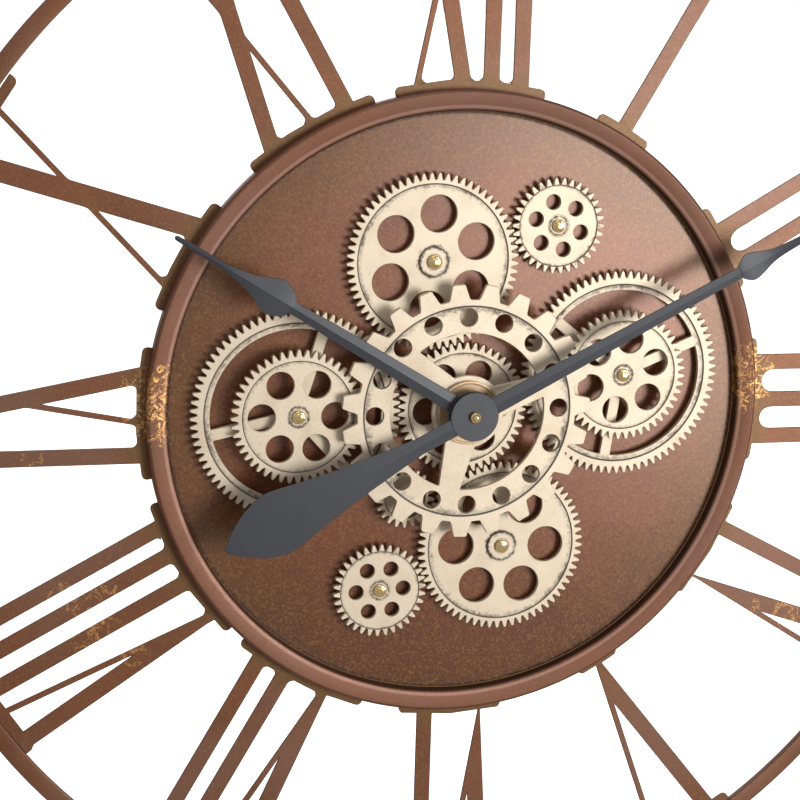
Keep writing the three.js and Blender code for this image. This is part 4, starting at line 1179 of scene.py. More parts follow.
class BuildBezel(bpy.types.Operator):
    """Build the bezel, with its sloped face, round lip and turned-down skirt"""

    bl_idname = "clock.build_bezel"
    bl_label = "Bezel"

    def execute(self, context):
        sizes = context.scene.clock_sizes
        outer = radius_of("front_bezel")
        skirt_back, rim_front = levels_of("front_bezel")
        foot = levels_of("dial_plate")[1] + GAP
        face, slope, sheet, edge = 14.6 * MM, 2.2 * MM, 1.7 * MM, 1.6 * MM
        bead, bead_height = 0.55 * MM, 1.3 * MM
        inner = outer - face
        inner_top = rim_front - slope
        pitch = slope / (face - edge)
        lip = sizes.lip
        lip_height = inner_top + pitch * lip - lip * math.hypot(1, pitch)
        lip_round = [
            (inner + lip + x, lip_height + y)
            for x, y in arc(lip, 90 + math.degrees(math.atan(pitch)), 180, 8)
        ]
        turned_piece("front_bezel", [
            (inner - bead, foot),
            (inner + sheet, foot),
            (inner + sheet, inner_top - sheet),
            (outer - sheet, rim_front - sheet - 0.4 * MM),
            (outer - sheet, skirt_back),
            (outer, skirt_back),
            (outer, rim_front - edge),
            (outer - edge, rim_front),
            *lip_round,
            (inner, foot + bead_height + bead),
            (inner - bead, foot + bead_height),
        ], COPPER, soft=0.9 * MM, steps=sizes.rim_steps)
        return {"FINISHED"}


def cover_screws():
    """Where the cover's screws stand."""
    x, y = centre_of("rear_cover_screw_1")
    away, start = math.hypot(x, y), math.degrees(math.atan2(y, x))
    return [polar(away, start + i * 120) for i in range(3)]


class BuildDrum(bpy.types.Operator):
    """Build the drum's shell, dial and back cover"""

    bl_idname = "clock.build_drum"
    bl_label = "Drum"

    def execute(self, context):
        sizes = context.scene.clock_sizes
        steps = sizes.rim_steps
        outer = radius_of("drum_shell")
        back, front = levels_of("drum_shell")
        dial_back, dial_front = levels_of("dial_plate")
        flange, bead = 14 * MM, 8 * MM
        inner = outer - SHEET
        screw_r = 2 * MM
        shell = turned(softened([
            (outer - flange, back), (outer, back), (outer, front), (inner, front),
            (inner, dial_back - GAP), (inner - bead, dial_back - GAP),
            (inner, dial_back - GAP - SHEET), (inner, back + SHEET),
            (outer - flange, back + SHEET),
        ], 0.6 * MM, closed=True), steps)
        cuts = [
            moved(disc(screw_r, back - SHEET, back + 2 * SHEET), x, y) for x, y in cover_screws()
        ]
        dressed("drum_shell", carved([shell], cuts), COPPER)

        holes = [circle(SHANK_R + GAP, 48, *centre_of(f"{side}_axle")) for side in AXLES]
        holes.append(circle(BUSHING_R + GAP, 64))
        holes.append(circle(MOTOR_SHAFT_R + 2 * GAP, 48, *centre_of("motor_shaft")))
        outlines = [circle(radius_of("dial_plate"), steps), *(hole[::-1] for hole in holes)]
        dial = cut_sheet(outlines, dial_back, dial_front, 0.2 * MM)
        dressed("dial_plate", dial, DIAL)

        margin, corner = 4 * MM, 2.5 * MM
        holder_x, holder_y = centre_of("battery_holder")
        windows = [
            rounded_box(MOVEMENT_SIDE + 2 * margin, MOVEMENT_SIDE + 2 * margin, corner),
            rounded_box(
                HOLDER_WIDTH + margin, HOLDER_HEIGHT + margin, corner, holder_x, holder_y
            ),
            rounded_box(24 * MM, 23 * MM, corner, 0.0, 180 * MM),
            *(circle(screw_r, 32, x, y) for x, y in cover_screws()),
        ]
        back, front = levels_of("rear_cover")
        outlines = [circle(radius_of("rear_cover"), steps), *(hole[::-1] for hole in windows)]
        cover = cut_sheet(outlines, back, front, 0.25 * MM)
        dressed("rear_cover", cover, BLACK_STEEL)
        return {"FINISHED"}


class BuildCoverScrews(bpy.types.Operator):
    """Build the screws of the back cover"""

    bl_idname = "clock.build_cover_screws"
    bl_label = "Cover screws"

    def execute(self, context):
        nodes = [f"rear_cover_screw_{i + 1}" for i in range(3)]
        back, tip = levels_of(nodes[0])
        head_r, shank_r, head = radius_of(nodes[0]), 1.7 * MM, 1.6 * MM
        recess_r, recess = 1.1 * MM, 0.9 * MM
        profile = softened([
            (0.0, back + recess), (recess_r * 0.7, back + recess), (recess_r, back),
            (head_r * 0.6, back + 0.15 * MM), (head_r, back + head * 0.6),
            (head_r, back + head), (shank_r, back + head), (shank_r, tip), (0.0, tip),
        ], 0.25 * MM)
        screw = moved(turned(profile, 32), *cover_screws()[0])
        mesh = grown(repeat_shape(), drawing_of([screw]), {
            "Count": len(nodes), "Finish": made(STEEL[0]),
        })
        show("rear_cover_screws_dressed", settle(mesh, stand()), STEEL, *nodes)
        return {"FINISHED"}


class BuildNumerals(bpy.types.Operator):
    """Build the twelve numerals and the hoop"""

    bl_idname = "clock.build_numerals"
    bl_label = "Numerals and hoop"

    def execute(self, context):
        sizes = context.scene.clock_sizes
        sharp_corner = 0.5 * MM
        for hour in range(1, 13):
            node = f"numeral_{hour:02d}"
            outlines = [
                softened(
                    straighter(rounder(tidied(straighter(outline)))), sharp_corner,
                    closed=True, gentlest=6, wide=sizes.tab_corner,
                )
                for outline in outlines_of(node)
            ]
            sheet = cut_sheet(
                [straighter(outline) for outline in outlines], *levels_of(node),
                sizes.sheet_edge,
            )
            dressed(node, sheet, COPPER)
        outer = radius_of("outer_hoop")
        back, front = levels_of("outer_hoop")
        band = 12 * MM
        hoop = grown(hoop_shape(), bpy.data.meshes.new("drawing"), {
            "Radius": outer - band / 2, "Band": band, "Depth": front - back,
            "Corner": 0.8 * MM, "Height": (front + back) / 2, "Steps": sizes.rim_steps,
            "Finish": made(COPPER[0]),
        })
        dressed("outer_hoop", hoop, COPPER)
        return {"FINISHED"}


SMALL_TOOTH = {"Tip Share": 0.132, "Base Share": 0.385, "Tip Flat": 0.5, "Corner Height": 0.13}
COG = {"Tip Share": 0.1831, "Base Share": 0.3446, "Tip Flat": 0.86, "Corner Height": 0.06}
MODULE = 1.9 * MM
GEAR_SHEET = 4 * MM
CENTRE_TEETH = 48
CENTRE_TURN = 4.76
LARGEST_PINION = 50
AXLE_BORE = 3.8 * MM
SLEEVE_BORE = 8.3 * MM


def tip_radius(teeth):
    reach = 0.3 if teeth > LARGEST_PINION else 1.7
    return MODULE * teeth / 2 + reach * MM


def arm_window(arms, degrees, root, root_width, end, end_width):
    """One opening between two straight arms, in millimetres."""
    root_half = math.degrees(math.asin(root_width / 2 / root))
    end_half = math.degrees(math.asin(end_width / 2 / end))
    after = degrees + 360 / arms
    rim = arc(end * MM, degrees + end_half, after - end_half, 40)
    hub = arc(root * MM, after - root_half, degrees + root_half, 14)
    return softened(rim + hub, 1.2 * MM, closed=True)


def round_hole(radius, ring_radius, degrees):
    """A hole of a ring of holes, in millimetres."""
    return circle(radius * MM, 40, *polar(ring_radius * MM, degrees))


def toothed_wheel(
    node, at, teeth, turn, root, groove, hub, bore, wash, tip=None, back=None, recess=None,
    opening=(), openings=0, hole=(), holes=0, tooth=SMALL_TOOTH,
):
    """A wheel; its hub is a line of (radius, height above its web) in to the bore."""
    sizes = bpy.context.scene.clock_sizes
    steps = sizes.round_steps
    tip = tip or tip_radius(teeth)
    recess = recess or sizes.recess
    back = levels_of(node)[0] if back is None else back
    front = back + GEAR_SHEET
    web = front - recess
    half = sizes.groove / 2
    step_down = [
        (groove + half, front), (groove + half * 0.2, front - recess * 0.5),
        (groove - half * 0.3, web - 0.25 * MM), (groove - half, web),
    ]
    hub_line = [(radius, web + rise) for radius, rise in hub]
    hub_line += [(bore, hub_line[-1][1] - sizes.chamfer), (bore, back)]
    strips = [turned(step_down, steps, False), turned(hub_line, steps, False)]
    tree = bpy.data.node_groups.get("Toothed wheel") or wheel_shape()
    mesh = grown(tree, drawing_of(strips, opening, hole), {
        "Teeth": teeth, "Turn": math.radians(turn), "Tip Radius": tip, "Root Radius": root,
        "Back": back, "Front": front, "Recess": recess, "Chamfer": sizes.chamfer,
        "Groove Radius": groove, "Groove Width": sizes.groove, "Hub Radius": hub[0][0],
        "Bore Radius": bore, "Openings": openings, "Holes": holes, "Steps": steps,
        "Wash Radius": wash, "Finish": made(GOLD[0]), **tooth,
    })
    return dressed(node, mesh, GOLD, at, SHARP_FACET)


def meshed_turn(driver_turn, driver_teeth, teeth, direction):
    """How a wheel is turned for its teeth to fall between its driver's."""
    share = 0.5 - (direction - driver_turn) * driver_teeth / 360
    return direction + 180 - share * 360 / teeth


def direction_between(first, second):
    return math.degrees(math.atan2(second[1] - first[1], second[0] - first[0]))


def flat_hub(outer, rim, bore):
    """A hub that is level with its web, inside a fine dark line, in millimetres."""
    return [
        (outer * MM, 0.0), ((outer - rim / 2) * MM, -0.18 * MM), ((outer - rim) * MM, 0.0),
        (bore + 0.3 * MM, 0.0),
    ]


class BuildGears(bpy.types.Operator):
    """Build the gears that turn on the dial's axles"""

    bl_idname = "clock.build_gears"
    bl_label = "Gears"

    def execute(self, context):
        sizes = context.scene.clock_sizes
        boss = 1 * MM + sizes.recess
        dish = boss - 0.5 * MM
        raised = [
            (10.9 * MM, 0.0), (10.6 * MM, -0.2 * MM), (10.4 * MM, 0.0), (10.3 * MM, boss * 0.8),
            (9.9 * MM, boss), (5.9 * MM, boss), (5.3 * MM, dish), (4.3 * MM, dish),
        ]
        flat = flat_hub(8.2, 0.6, AXLE_BORE)
        stack = levels_of("left_ring_gear")[1] - levels_of("left_ring_gear")[0]
        stack += sizes.recess - GEAR_SHEET
        tall = [
            (8.6 * MM, 0.0), (8.0 * MM, GAP), (8.0 * MM, stack - GAP), (7.7 * MM, stack),
            (4.1 * MM, stack),
        ]
        holes = {
            65: (13.2, 33.7), 34: (5.5, 17.3), 48: (9.8, 25.8),
        }
        wheels = [
            ("upper_gear", "upper_axle", 65, "centre", 54.3, 25, raised, 10.5),
            ("lower_gear", "lower_axle", 65, "centre", 54.3, -0.6, raised, 10.5),
            ("upper_small_gear", "upper_small_axle", 34, "upper_gear", 28.8, 44.5, flat, 6.6),
            ("lower_small_gear", "lower_small_axle", 34, "lower_gear", 28.8, 3, flat, 6.6),
            ("left_ring_gear", "left_axle", 78, "centre", 64.7, 72.5, tall, 10),
            ("right_ring_gear", "right_axle", 78, "centre", 64.7, 22, tall, 10),
            ("left_front_gear", "left_axle", 48, 0.52, 39.3, 0.3, flat, 6.9),
            ("right_front_gear", "right_axle", 48, 5.67, 39.3, 20, flat, 6.9),
        ]
        placed = {"centre": ((0.0, 0.0), CENTRE_TEETH, CENTRE_TURN)}
        for node, axle, teeth, mate, groove, phase, hub, wash in wheels:
            at = centre_of(axle)
            turn = mate
            if mate in placed:
                other, other_teeth, other_turn = placed[mate]
                direction = direction_between(other, at)
                turn = meshed_turn(other_turn, other_teeth, teeth, direction)
            placed[node] = (at, teeth, turn)
            if hub is tall:
                cut = {"opening": arm_window(3, phase, 14, 7.8, 60.7, 7.8), "openings": 3}
            else:
                cut = {"opening": round_hole(*holes[teeth], phase), "openings": 6}
            toothed_wheel(
                node, at, teeth, turn, tip_radius(teeth) - 5 * MM, groove * MM, hub, AXLE_BORE,
                wash * MM, **cut,
            )
        return {"FINISHED"}


class BuildCentreWheel(bpy.types.Operator):
    """Build the centre gear and the cog ring in front of it"""

    bl_idname = "clock.build_centre_wheel"
    bl_label = "Centre wheel"

    def execute(self, context):
        hub = flat_hub(12.4, 0.8, SLEEVE_BORE)
        toothed_wheel(
            "centre_gear", (0.0, 0.0), CENTRE_TEETH, CENTRE_TURN,
            tip_radius(CENTRE_TEETH) - 5 * MM, 39.5 * MM, hub, SLEEVE_BORE, 0.0,
            opening=round_hole(9.8, 26.5, CENTRE_TURN), openings=6,
        )
        toothed_wheel(
            "cog_ring", (0.0, 0.0), 23, 2.2, 79.8 * MM, 75.2 * MM, hub, SLEEVE_BORE, 0.0,
            tip=90.7 * MM, tooth=COG,
            opening=arm_window(3, 18, 26, 22, 56.3, 15.8), openings=3,
            hole=round_hole(6.55, 67.2, 1.3), holes=16,
        )
        return {"FINISHED"}


class BuildCentreStack(bpy.types.Operator):
    """Build the collar, the sleeve, its nut and the spacer"""

    bl_idname = "clock.build_centre_stack"
    bl_label = "Centre stack"

    def execute(self, context):
        back, front = levels_of("hub_collar")
        outer, rim = radius_of("hub_collar"), 1.6 * MM
        sunk = front - 0.45 * MM
        collar = turned(softened([
            (SLEEVE_BORE, back), (outer, back), (outer, front), (outer - rim, front),
            (outer - rim - 0.4 * MM, sunk), (SLEEVE_BORE, sunk),
        ], 0.35 * MM, closed=True), 128)
        screw_holes = [
            moved(disc(1.5 * MM, front - 2 * MM, front + 1 * MM, 32), *polar(16.8 * MM, 48 + turn))
            for turn in (0, 120, 240)
        ]
        dressed("hub_collar", carved([collar], screw_holes), COLLAR, sharp=SHARP_FACET)

        back, front = levels_of("centre_spacer")
        outer = radius_of("centre_spacer")
        turned_piece("centre_spacer", [
            (SLEEVE_BORE, back), (outer, back), (outer, front), (SLEEVE_BORE, front),
        ], BLACK_PLASTIC, soft=0.4 * MM)

        back, front = levels_of("centre_sleeve")
        gear_back = levels_of("centre_gear")[0] - GAP
        inner, flange = BUSHING_R + GAP, 14 * MM
        turned_piece("centre_sleeve", [
            (inner, back), (flange, back), (flange, gear_back), (SLEEVE_R, gear_back),
            (SLEEVE_R, front), (inner, front),
        ], STEEL)

        back, front = levels_of("sleeve_nut")
        nut = carved(
            [prism(circle(11 * MM, 6), back, front)],
            [disc(inner, back - 1 * MM, front + 1 * MM)], 0.35 * MM,
        )
        dressed("sleeve_nut", nut, BRASS, sharp=SHARP_FACET)
        return {"FINISHED"}


class BuildAxles(bpy.types.Operator):
    """Build the six headed axles"""

    bl_idname = "clock.build_axles"
    bl_label = "Axles"

    def execute(self, context):
        gear_back = levels_of("upper_gear")[0] - GAP
        dial_front = levels_of("dial_plate")[1] + GAP
        pin, head, shoulder = 3.5 * MM, 4.7 * MM, 8 * MM
        for side in AXLES:
            node = f"{side}_axle"
            back, front = levels_of(node)
            head_back = front - 2.6 * MM
            turned_piece(node, [
                (0.0, back), (SHANK_R, back), (SHANK_R, dial_front), (shoulder, dial_front),
                (shoulder, gear_back), (pin, gear_back), (pin, head_back), (head, head_back),
                (head, front - 1.5 * MM), (head * 0.86, front - 0.9 * MM),
                (head * 0.62, front - 0.75 * MM), (head * 0.5, front - 0.1 * MM),
                (head * 0.25, front), (0.0, front),
            ], BRASS, soft=0.35 * MM, steps=48)
        return {"FINISHED"}


class BuildDrive(bpy.types.Operator):
    """Build the gear motor, its shaft and its pinion"""

    bl_idname = "clock.build_drive"
    bl_label = "Gear drive"

    def execute(self, context):
        at = centre_of("motor_shaft")
        lower = direction_between((0.0, 0.0), centre_of("lower_axle"))
        lower_turn = meshed_turn(CENTRE_TURN, CENTRE_TEETH, 65, lower)
        onward = direction_between(centre_of("lower_axle"), at)
        turn = meshed_turn(lower_turn, 65, 21, onward)
        rim, boss, bore = 14.85 * MM, 4.3 * MM, MOTOR_SHAFT_R + GAP
        recess = GEAR_SHEET * 2 / 3
        toothed_wheel(
            "drive_pinion", at, 21, turn, tip_radius(21) - 5 * MM, rim,
            [(boss + 0.2 * MM, 0.0), (boss, 0.2 * MM), (boss, recess - GAP),
             (boss - GAP, recess), (bore + GAP, recess)],
            bore, boss + 1 * MM, recess=recess,
        )
        back, front = levels_of("motor_shaft")
        turned_piece("motor_shaft", [
            (0.0, back), (MOTOR_SHAFT_R, back), (MOTOR_SHAFT_R, front - GAP),
            (MOTOR_SHAFT_R - GAP, front), (0.0, front),
        ], STEEL, soft=0.1 * MM, steps=48)
        sizes = context.scene.clock_sizes
        case_back, case_front = levels_of("gear_motor")
        case = carved(
            [prism(rounded_box(44 * MM, 32 * MM, 4 * MM), case_back, case_front)],
            [disc(bore, back - GAP, case_front + 1 * MM)], sizes.case_edge,
        )
        dressed("gear_motor", case, BLACK_PLASTIC, at, SHARP_FACET)
        return {"FINISHED"}


HAND_SHEET = 2 * MM
HAND_SIDE = 1 * MM
HAND_HUB_R = 17.2 * MM
MINUTE_REACH, MINUTE_DIRECTION = 310 * MM, 27.3
HOUR_REACH, HOUR_DIRECTION = 243.8 * MM, 149
TAIL_REACH = 195.8 * MM
NECK_AT, NECK_HALF = 8.6 * MM, 6.4 * MM

# Edges of the hands as (distance from the axis, half width), in shares of the hand's reach
LEAF_EDGE = [
    (1, 0.0036), (0.9704, 0.0332), (0.9346, 0.0613), (0.8784, 0.094), (0.8018, 0.1175),
    (0.7457, 0.1124), (0.6537, 0.0935), (0.5312, 0.0705), (0.383, 0.0511), (0.2247, 0.0312),
]
MINUTE_EDGE = [
    (0.7023, 0.0137), (0.7097, 0.0213), (0.7226, 0.03), (0.7355, 0.0326), (0.7565, 0.0274),
    (0.7806, 0.0184), (0.8097, 0.0126), (0.8645, 0.0094), (1, 0.0048),
]
HOUR_EDGE = [
    (0.4922, 0.0221), (0.5701, 0.0185), (0.6169, 0.0201), (0.6259, 0.0324), (0.6399, 0.0418),
    (0.6645, 0.0521), (0.6891, 0.0505), (0.724, 0.0361), (0.767, 0.0217), (0.8244, 0.0119),
    (0.8778, 0.009), (0.9311, 0.009), (1, 0.0066),
]


def hand_edge(points, reach, steps=6):
    return [
        (away * reach, half * reach) for away, half in curve_through(points, steps)
    ]


def blade(stations, back, degrees):
    """A flat strip folded along its middle, from (distance, half width, fold height) points."""
    end, half, fold = stations[-1]
    tip = [
        (end - half + half * math.sin(math.radians(t)), half * math.cos(math.radians(t)),
         fold * math.cos(math.radians(t)))
        for t in (0, 30, 55, 75, 86)
    ]
    points, faces = [], []
    rows = [*(row for row in stations if row[0] < end - half), *tip]
    for away, half, fold in rows:
        soft = min(0.3 * MM, half * 0.4)
        shoulder = back + HAND_SIDE
        section = [
            (-half + soft, back), (half - soft, back), (half, back + soft),
            (half, shoulder - soft), (half - soft, shoulder + fold * soft / half),
            (0.0, shoulder + fold), (soft - half, shoulder + fold * soft / half),
            (-half, shoulder - soft), (-half, back + soft),
        ]
        points += [(away, across, height) for across, height in section]
    side = len(section)
    faces.append(list(range(side)))
    faces.append(list(range(len(points) - side, len(points)))[::-1])
    for start in range(0, len(points) - side, side):
        for k in range(side):
            following = (k + 1) % side
            faces.append([
                start + k, start + following, start + side + following, start + side + k,
            ])
    turn = Matrix.Rotation(math.radians(degrees), 4, "Z")
    return [tuple(turn @ Vector(point)) for point in points], faces


def hand_hub(back):
    edge = 0.25 * MM
    return turned([
        (0.0, back), (HAND_HUB_R - edge, back), (HAND_HUB_R, back + edge),
        (HAND_HUB_R, back + HAND_SHEET - edge), (HAND_HUB_R - edge, back + HAND_SHEET),
        (0.0, back + HAND_SHEET),
    ], 128)


class BuildHands(bpy.types.Operator):
    """Build the two hands, their arbors and the cap"""

    bl_idname = "clock.build_hands"
    bl_label = "Hands"

    def execute(self, context):
        fold = HAND_SHEET - HAND_SIDE
        neck = [(side * NECK_AT, NECK_HALF, fold) for side in (-1, 1)]
        back = levels_of("minute_hand")[0]
        tail = [
            (-away, half, fold * max(0.3, 1 - 1.22 * away / TAIL_REACH))
            for away, half in hand_edge(LEAF_EDGE, TAIL_REACH)
        ]
        front = [(away, half, fold) for away, half in hand_edge(MINUTE_EDGE, MINUTE_REACH)]
        bore = MINUTE_SHAFT_R + GAP
        hand = carved(
            [hand_hub(back), blade([*tail, *neck, *front], back, MINUTE_DIRECTION)],
            [disc(bore, back - HAND_SHEET, back + 2 * HAND_SHEET)],
        )
        dressed("minute_hand", hand, SLATE, sharp=SHARP_FOLD)

        back = levels_of("hour_hand")[0]
        front = [(away, half, fold) for away, half in hand_edge(HOUR_EDGE, HOUR_REACH)]
        hand = carved(
            [hand_hub(back), blade([*neck, *front], back, HOUR_DIRECTION)],
            [disc(TUBE_R + GAP, back - HAND_SHEET, back + 2 * HAND_SHEET)],
        )
        dressed("hour_hand", hand, SLATE, sharp=SHARP_FOLD)

        back, front = levels_of("hour_tube")
        turned_piece("hour_tube", [
            (bore, back), (TUBE_R, back), (TUBE_R, front), (bore, front),
        ], BRASS, soft=0.15 * MM, steps=48)
        back, shaft_front = levels_of("minute_shaft")
        turned_piece("minute_shaft", [
            (0.0, back), (MINUTE_SHAFT_R, back), (MINUTE_SHAFT_R, shaft_front),
            (0.0, shaft_front),
        ], STEEL, soft=0.15 * MM, steps=48)
        back, front = levels_of("hand_cap")
        outer = 3.9 * MM
        height = front - back
        turned_piece("hand_cap", [
            (0.0, shaft_front + GAP), (bore, shaft_front + GAP), (bore, back), (outer, back),
            (outer, back + height * 0.42), (outer * 0.9, back + height * 0.56),
            (outer * 0.64, back + height * 0.63), (outer * 0.6, back + height * 0.8),
            (outer * 0.5, back + height * 0.92), (outer * 0.3, back + height * 0.98),
            (0.0, front),
        ], BRASS, soft=0.3 * MM, steps=48)
        return {"FINISHED"}


def cell(node, nub_side):
    """A battery that lies along x, with its nub towards one side."""
    back, front = levels_of(node)
    nub_r, nub = 2.7 * MM, 1.5 * MM
    can = CELL_LENGTH - nub
    profile = softened([
        (0.0, 0.0), (CELL_R - 0.5 * MM, 0.0), (CELL_R, 0.6 * MM), (CELL_R, can - 0.8 * MM),
        (CELL_R - 0.7 * MM, can), (nub_r, can), (nub_r, CELL_LENGTH), (0.0, CELL_LENGTH),
    ], 0.3 * MM)
    mesh = mesh_of(turned(profile, 64))
    along = mesh.attributes.new("along", "FLOAT", "POINT")
    along.data.foreach_set("value", [vert.co.z / CELL_LENGTH for vert in mesh.vertices])
    lie = Matrix.Rotation(nub_side * math.pi / 2, 4, "Y")
    middle = Matrix.Translation((0, 0, -CELL_LENGTH / 2))
    mesh.transform(Matrix.Translation((0, 0, (back + front) / 2)) @ lie @ middle)
    dressed(node, mesh, JACKET, centre_of(node))


class BuildMovement(bpy.types.Operator):
    """Build the time movement, its cell and its setting knob"""

    bl_idname = "clock.build_movement"
    bl_label = "Time movement"

    def execute(self, context):
        sizes = context.scene.clock_sizes
        back, bushing_front = levels_of("movement_case")
        front = levels_of("dial_plate")[0] - GAP
        beyond = 1 * MM
        case = prism(rounded_box(MOVEMENT_SIDE, MOVEMENT_SIDE, 4 * MM), back, front)
        bushing = disc(BUSHING_R, front - beyond, bushing_front)
        bore_back = levels_of("cog_ring")[0] - GAP
        knob_x, knob_y = centre_of("time_set_knob")
        cell_x, cell_y = centre_of("movement_battery")
        bay_height = 2 * (CELL_R + GAP)
        bay_front = back + bay_height - beyond
        knob_well = [(0.0, back - beyond), (8.6 * MM, back - beyond), (8.6 * MM, back + 0.6 * MM),
                     (0.0, back + 0.6 * MM)]
        panel = block(24 * MM, 13 * MM, back - beyond, back + 0.4 * MM, -12 * MM, 15 * MM)
        cuts = [
            disc(TUBE_R + GAP, bore_back, bushing_front + beyond),
            block(CELL_LENGTH + 2 * GAP, bay_height, back - beyond, bay_front, cell_x, cell_y),
            moved(turned(knob_well, 64), knob_x, knob_y),
            moved(disc(1.8 * MM, back - beyond, back + 4 * MM, 32), knob_x, knob_y),
            panel,
        ]
        movement = carved([case, bushing], cuts, sizes.case_edge)
        dressed("movement_case", movement, BLACK_PLASTIC, sharp=SHARP_FACET)
        cell("movement_battery", 1)

        knob_back, stem_front = levels_of("time_set_knob")
        knob_front = back - GAP
        flutes, per_flute, depth = 30, 6, 0.35 * MM
        rim = radius_of("time_set_knob")
        outline = []
        for i in range(flutes * per_flute):
            wave = (1 + math.cos(TURN * i / per_flute)) / 2
            outline.append(polar(rim - depth * wave, 360 * i / flutes / per_flute))
        knob = carved(
            [prism(outline, knob_back, knob_front),
             disc(1.5 * MM, knob_front - beyond, stem_front, 32)],
            [block(1.2 * MM, 8 * MM, knob_back - beyond, knob_back + 1.2 * MM)],
        )
        dressed("time_set_knob", knob, WHITE_PLASTIC, (knob_x, knob_y))
        return {"FINISHED"}


class BuildBatteryHolder(bpy.types.Operator):
    """Build the gear motor's battery holder, its cells and its switch"""

    bl_idname = "clock.build_battery_holder"
    bl_label = "Battery holder"

    def execute(self, context):
        sizes = context.scene.clock_sizes
        back, front = levels_of("battery_holder")
        x, y = centre_of("battery_holder")
        beyond = 1 * MM
        bay_length, bay_height = CELL_LENGTH + 2 * GAP, 2 * (CELL_R + GAP)
        bay_front = back + bay_height - beyond
        switch_x = centre_of("gear_switch")[0]
        cuts = [block(3.6 * MM, 10 * MM, back - beyond, back + 3.5 * MM, switch_x - x, 0.0)]
        for node in ("motor_battery_1", "motor_battery_2"):
            cell_x, cell_y = centre_of(node)
            cuts.append(
                block(bay_length, bay_height, back - beyond, bay_front, cell_x - x, cell_y - y)
            )
        case = prism(rounded_box(HOLDER_WIDTH, HOLDER_HEIGHT, 1.2 * MM), back, front)
        holder = carved([case], cuts, sizes.case_edge * 0.6)
        dressed("battery_holder", holder, BLACK_PLASTIC, (x, y), SHARP_FACET)
        cell("motor_battery_1", 1)
        cell("motor_battery_2", -1)

        back, front = levels_of("gear_switch")
        ribs = [
            block(4 * MM, 0.5 * MM, back - beyond, back + 0.5 * MM, 0.0, step * 1.3 * MM)
            for step in (-1, 0, 1)
        ]
        lever = carved([block(3 * MM, 5.4 * MM, back, front)], ribs, 0.15 * MM)
        dressed("gear_switch", lever, WHITE_PLASTIC, centre_of("gear_switch"))
        return {"FINISHED"}


class BuildWallSide(bpy.types.Operator):
    """Build the keyhole hanger and the two bumpers"""

    bl_idname = "clock.build_wall_side"
    bl_label = "Wall side"

    def execute(self, context):
        x, y = centre_of("wall_hanger")
        back, front = levels_of("wall_hanger")
        width, height, foot = 44 * MM, 46 * MM, 8 * MM
        slot_top, slot_low = 183.5 * MM - y, 172.5 * MM - y
        keyhole = [(px, py + slot_top) for px, py in arc(2.5 * MM, 0, 180, 12)]
        keyhole += [(px, py + slot_low) for px, py in arc(5 * MM, 150, 390, 32)]
        feet = [
            block(width - 2 * MM, foot, back + SHEET / 2, front, 0.0, side * (height - foot) / 2)
            for side in (-1, 1)
        ]
        plate = prism(rounded_box(width, height, 3 * MM), back, back + SHEET)
        hanger = carved(
            [plate, *feet], [prism(keyhole, back - SHEET, back + 2 * SHEET)], 0.2 * MM
        )
        dressed("wall_hanger", hanger, STEEL, (x, y), SHARP_FACET)
        for side in ("left", "right"):
            node = f"wall_bumper_{side}"
            back, front = levels_of(node)
            outer = radius_of(node)
            turned_piece(node, [
                (0.0, back), (outer - 1.2 * MM, back), (outer - 0.3 * MM, back + 0.5 * MM),
                (outer, back + 1.3 * MM), (outer, front), (0.0, front),
            ], RUBBER, soft=0.4 * MM, steps=64)
        return {"FINISHED"}


# The camera's azimuth, elevation and roll in degrees, fitted to the photograph
CAMERA_TURNS = (-16.62, 11.78, 2.04)
CAMERA_AWAY = 1.5253
CAMERA_LENS = 97.06
CAMERA_SHIFT = (-0.0798, 0.0113)

# Lamps as (name, place, size, power). The soft key lights without a reflection.
FLOOR_Z = -0.64
ROOM_LIGHT = 0.42
LAMPS = [
    ("key", (0.96, -1.75, -0.18), 0.95, 21),
    ("soft key", (1.0, -1.75, -0.35), 0.95, 18),
    ("fill", (-1.6, -1.6, 0.9), 1.6, 3),
    ("top", (-0.2, -1.2, 2.0), 1.6, 12),
    ("back", (0.2, 2.2, 0.8), 2.0, 10),
]


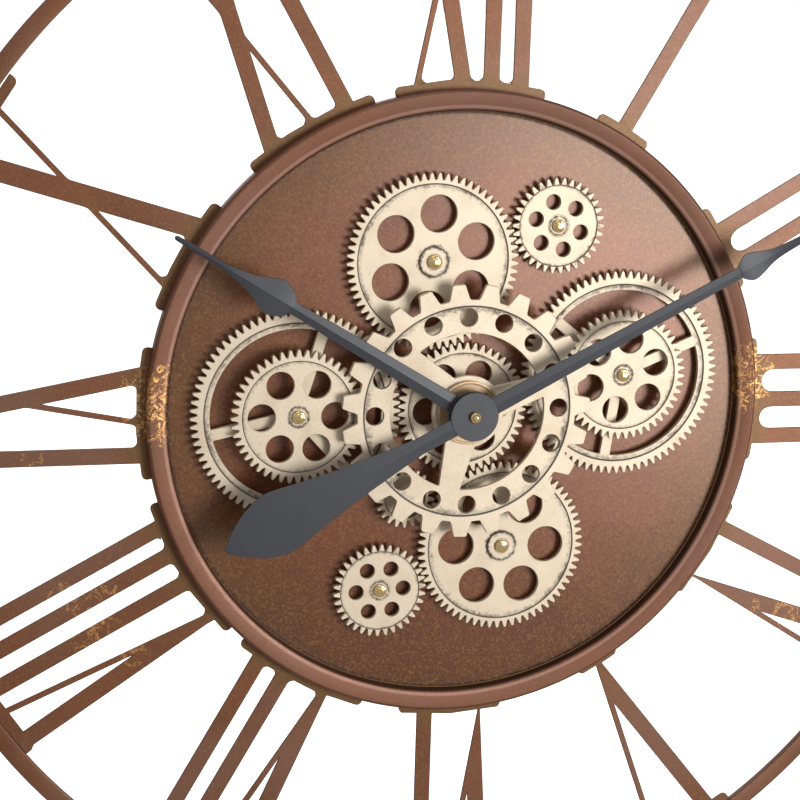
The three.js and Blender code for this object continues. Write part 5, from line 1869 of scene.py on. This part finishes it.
class BuildStage(bpy.types.Operator):
    """Build the floor, the lights and the camera"""

    bl_idname = "clock.build_stage"
    bl_label = "Stage"

    def execute(self, context):
        scene = context.scene
        finish = Finish("pale floor")
        white = finish.mix(finish.noise(3, 2) * 0.1, (1.0, 1.0, 1.0), (0.98, 0.98, 0.98))
        floor_finish = finish.surface(color=white, roughness=0.6, glow=white)
        mesh = mesh_of(turned([(0.0, 0.0), (2.0, 0.0), (8.0, 0.0), (30.0, 0.0)], 64, False))
        mesh.transform(Matrix.Translation((0, 0, FLOOR_Z)))
        mesh.materials.append(floor_finish)
        floor = bpy.data.objects.new("floor", mesh)
        scene.collection.objects.link(floor)
        floor.visible_diffuse = floor.visible_glossy = floor.visible_shadow = False
        floor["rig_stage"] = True

        world = bpy.data.worlds.new("studio")
        world.use_nodes = True
        scene.world = world
        studio = Graph(world.node_tree)
        studio.tree.nodes.clear()
        seen = studio.add("ShaderNodeLightPath")["Is Camera Ray"]
        strength = seen * (1 - ROOM_LIGHT) + ROOM_LIGHT
        light = studio.add(
            "ShaderNodeBackground", None, {"Color": (1, 1, 1, 1), "Strength": strength}
        )[0]
        studio.add("ShaderNodeOutputWorld", None, {"Surface": light})

        target = Vector((0, -0.05, AXIS_Z))
        for name, place, size, power in LAMPS:
            light = bpy.data.lights.new(name, "AREA")
            light.shape = "DISK"
            light.size = size
            light.energy = power
            lamp = bpy.data.objects.new(name, light)
            scene.collection.objects.link(lamp)
            lamp.location = place
            lamp.rotation_euler = (target - Vector(place)).to_track_quat("-Z", "Y").to_euler()
            lamp.visible_glossy = name != "soft key"
            lamp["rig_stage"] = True

        rim_front = levels_of("front_bezel")[1]
        azimuth, elevation, roll = (math.radians(value) for value in CAMERA_TURNS)
        back = Vector((
            math.sin(azimuth) * math.cos(elevation), -math.cos(azimuth) * math.cos(elevation),
            math.sin(elevation),
        ))
        level_right = Vector((0, 0, 1)).cross(back).normalized()
        level_up = back.cross(level_right)
        right = level_right * math.cos(roll) + level_up * math.sin(roll)
        up = level_up * math.cos(roll) - level_right * math.sin(roll)
        camera_data = bpy.data.cameras.new("camera")
        camera_data.lens = CAMERA_LENS
        camera_data.sensor_width = 36
        camera_data.shift_x, camera_data.shift_y = CAMERA_SHIFT
        camera = bpy.data.objects.new("camera", camera_data)
        scene.collection.objects.link(camera)
        turn = Matrix((right, up, back)).transposed().to_4x4()
        seat = Vector((0, -rim_front, AXIS_Z)) + back * CAMERA_AWAY
        camera.matrix_world = Matrix.Translation(seat) @ turn
        scene.camera = camera
        scene.view_settings.view_transform = "Standard"
        scene.view_settings.look = "None"
        return {"FINISHED"}


OPERATORS = [
    BuildBezel, BuildDrum, BuildCoverScrews, BuildNumerals, BuildGears, BuildCentreWheel,
    BuildCentreStack, BuildAxles, BuildDrive, BuildHands, BuildMovement, BuildBatteryHolder,
    BuildWallSide, BuildStage,
]


class ClockPanel(bpy.types.Panel):
    """Lists the clock's operators, sizes and colours"""

    bl_idname = "VIEW3D_PT_skeleton_clock"
    bl_label = "Skeleton wall clock"
    bl_space_type = "VIEW_3D"
    bl_region_type = "UI"
    bl_category = "Clock"

    def draw(self, context):
        layout = self.layout
        for operator in OPERATORS:
            layout.operator(operator.bl_idname)
        for group in (context.scene.clock_sizes, context.scene.clock_colours):
            box = layout.box()
            for name in group.__annotations__:
                box.prop(group, name)


CLASSES = [ClockSizes, ClockColours, *OPERATORS, ClockPanel]


def register():
    for cls in CLASSES:
        bpy.utils.register_class(cls)
    bpy.types.Scene.clock_sizes = PointerProperty(type=ClockSizes)
    bpy.types.Scene.clock_colours = PointerProperty(type=ClockColours)


def unregister():
    del bpy.types.Scene.clock_colours
    del bpy.types.Scene.clock_sizes
    for cls in reversed(CLASSES):
        bpy.utils.unregister_class(cls)


def corners():
    return [list(corner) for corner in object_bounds()]


def main():
    """Builds every piece round the frame and the stage."""
    register()
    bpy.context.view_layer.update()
    for operator in OPERATORS:
        category, name = operator.bl_idname.split(".")
        getattr(getattr(bpy.ops, category), name)()


if __name__ == "__main__":
    main()
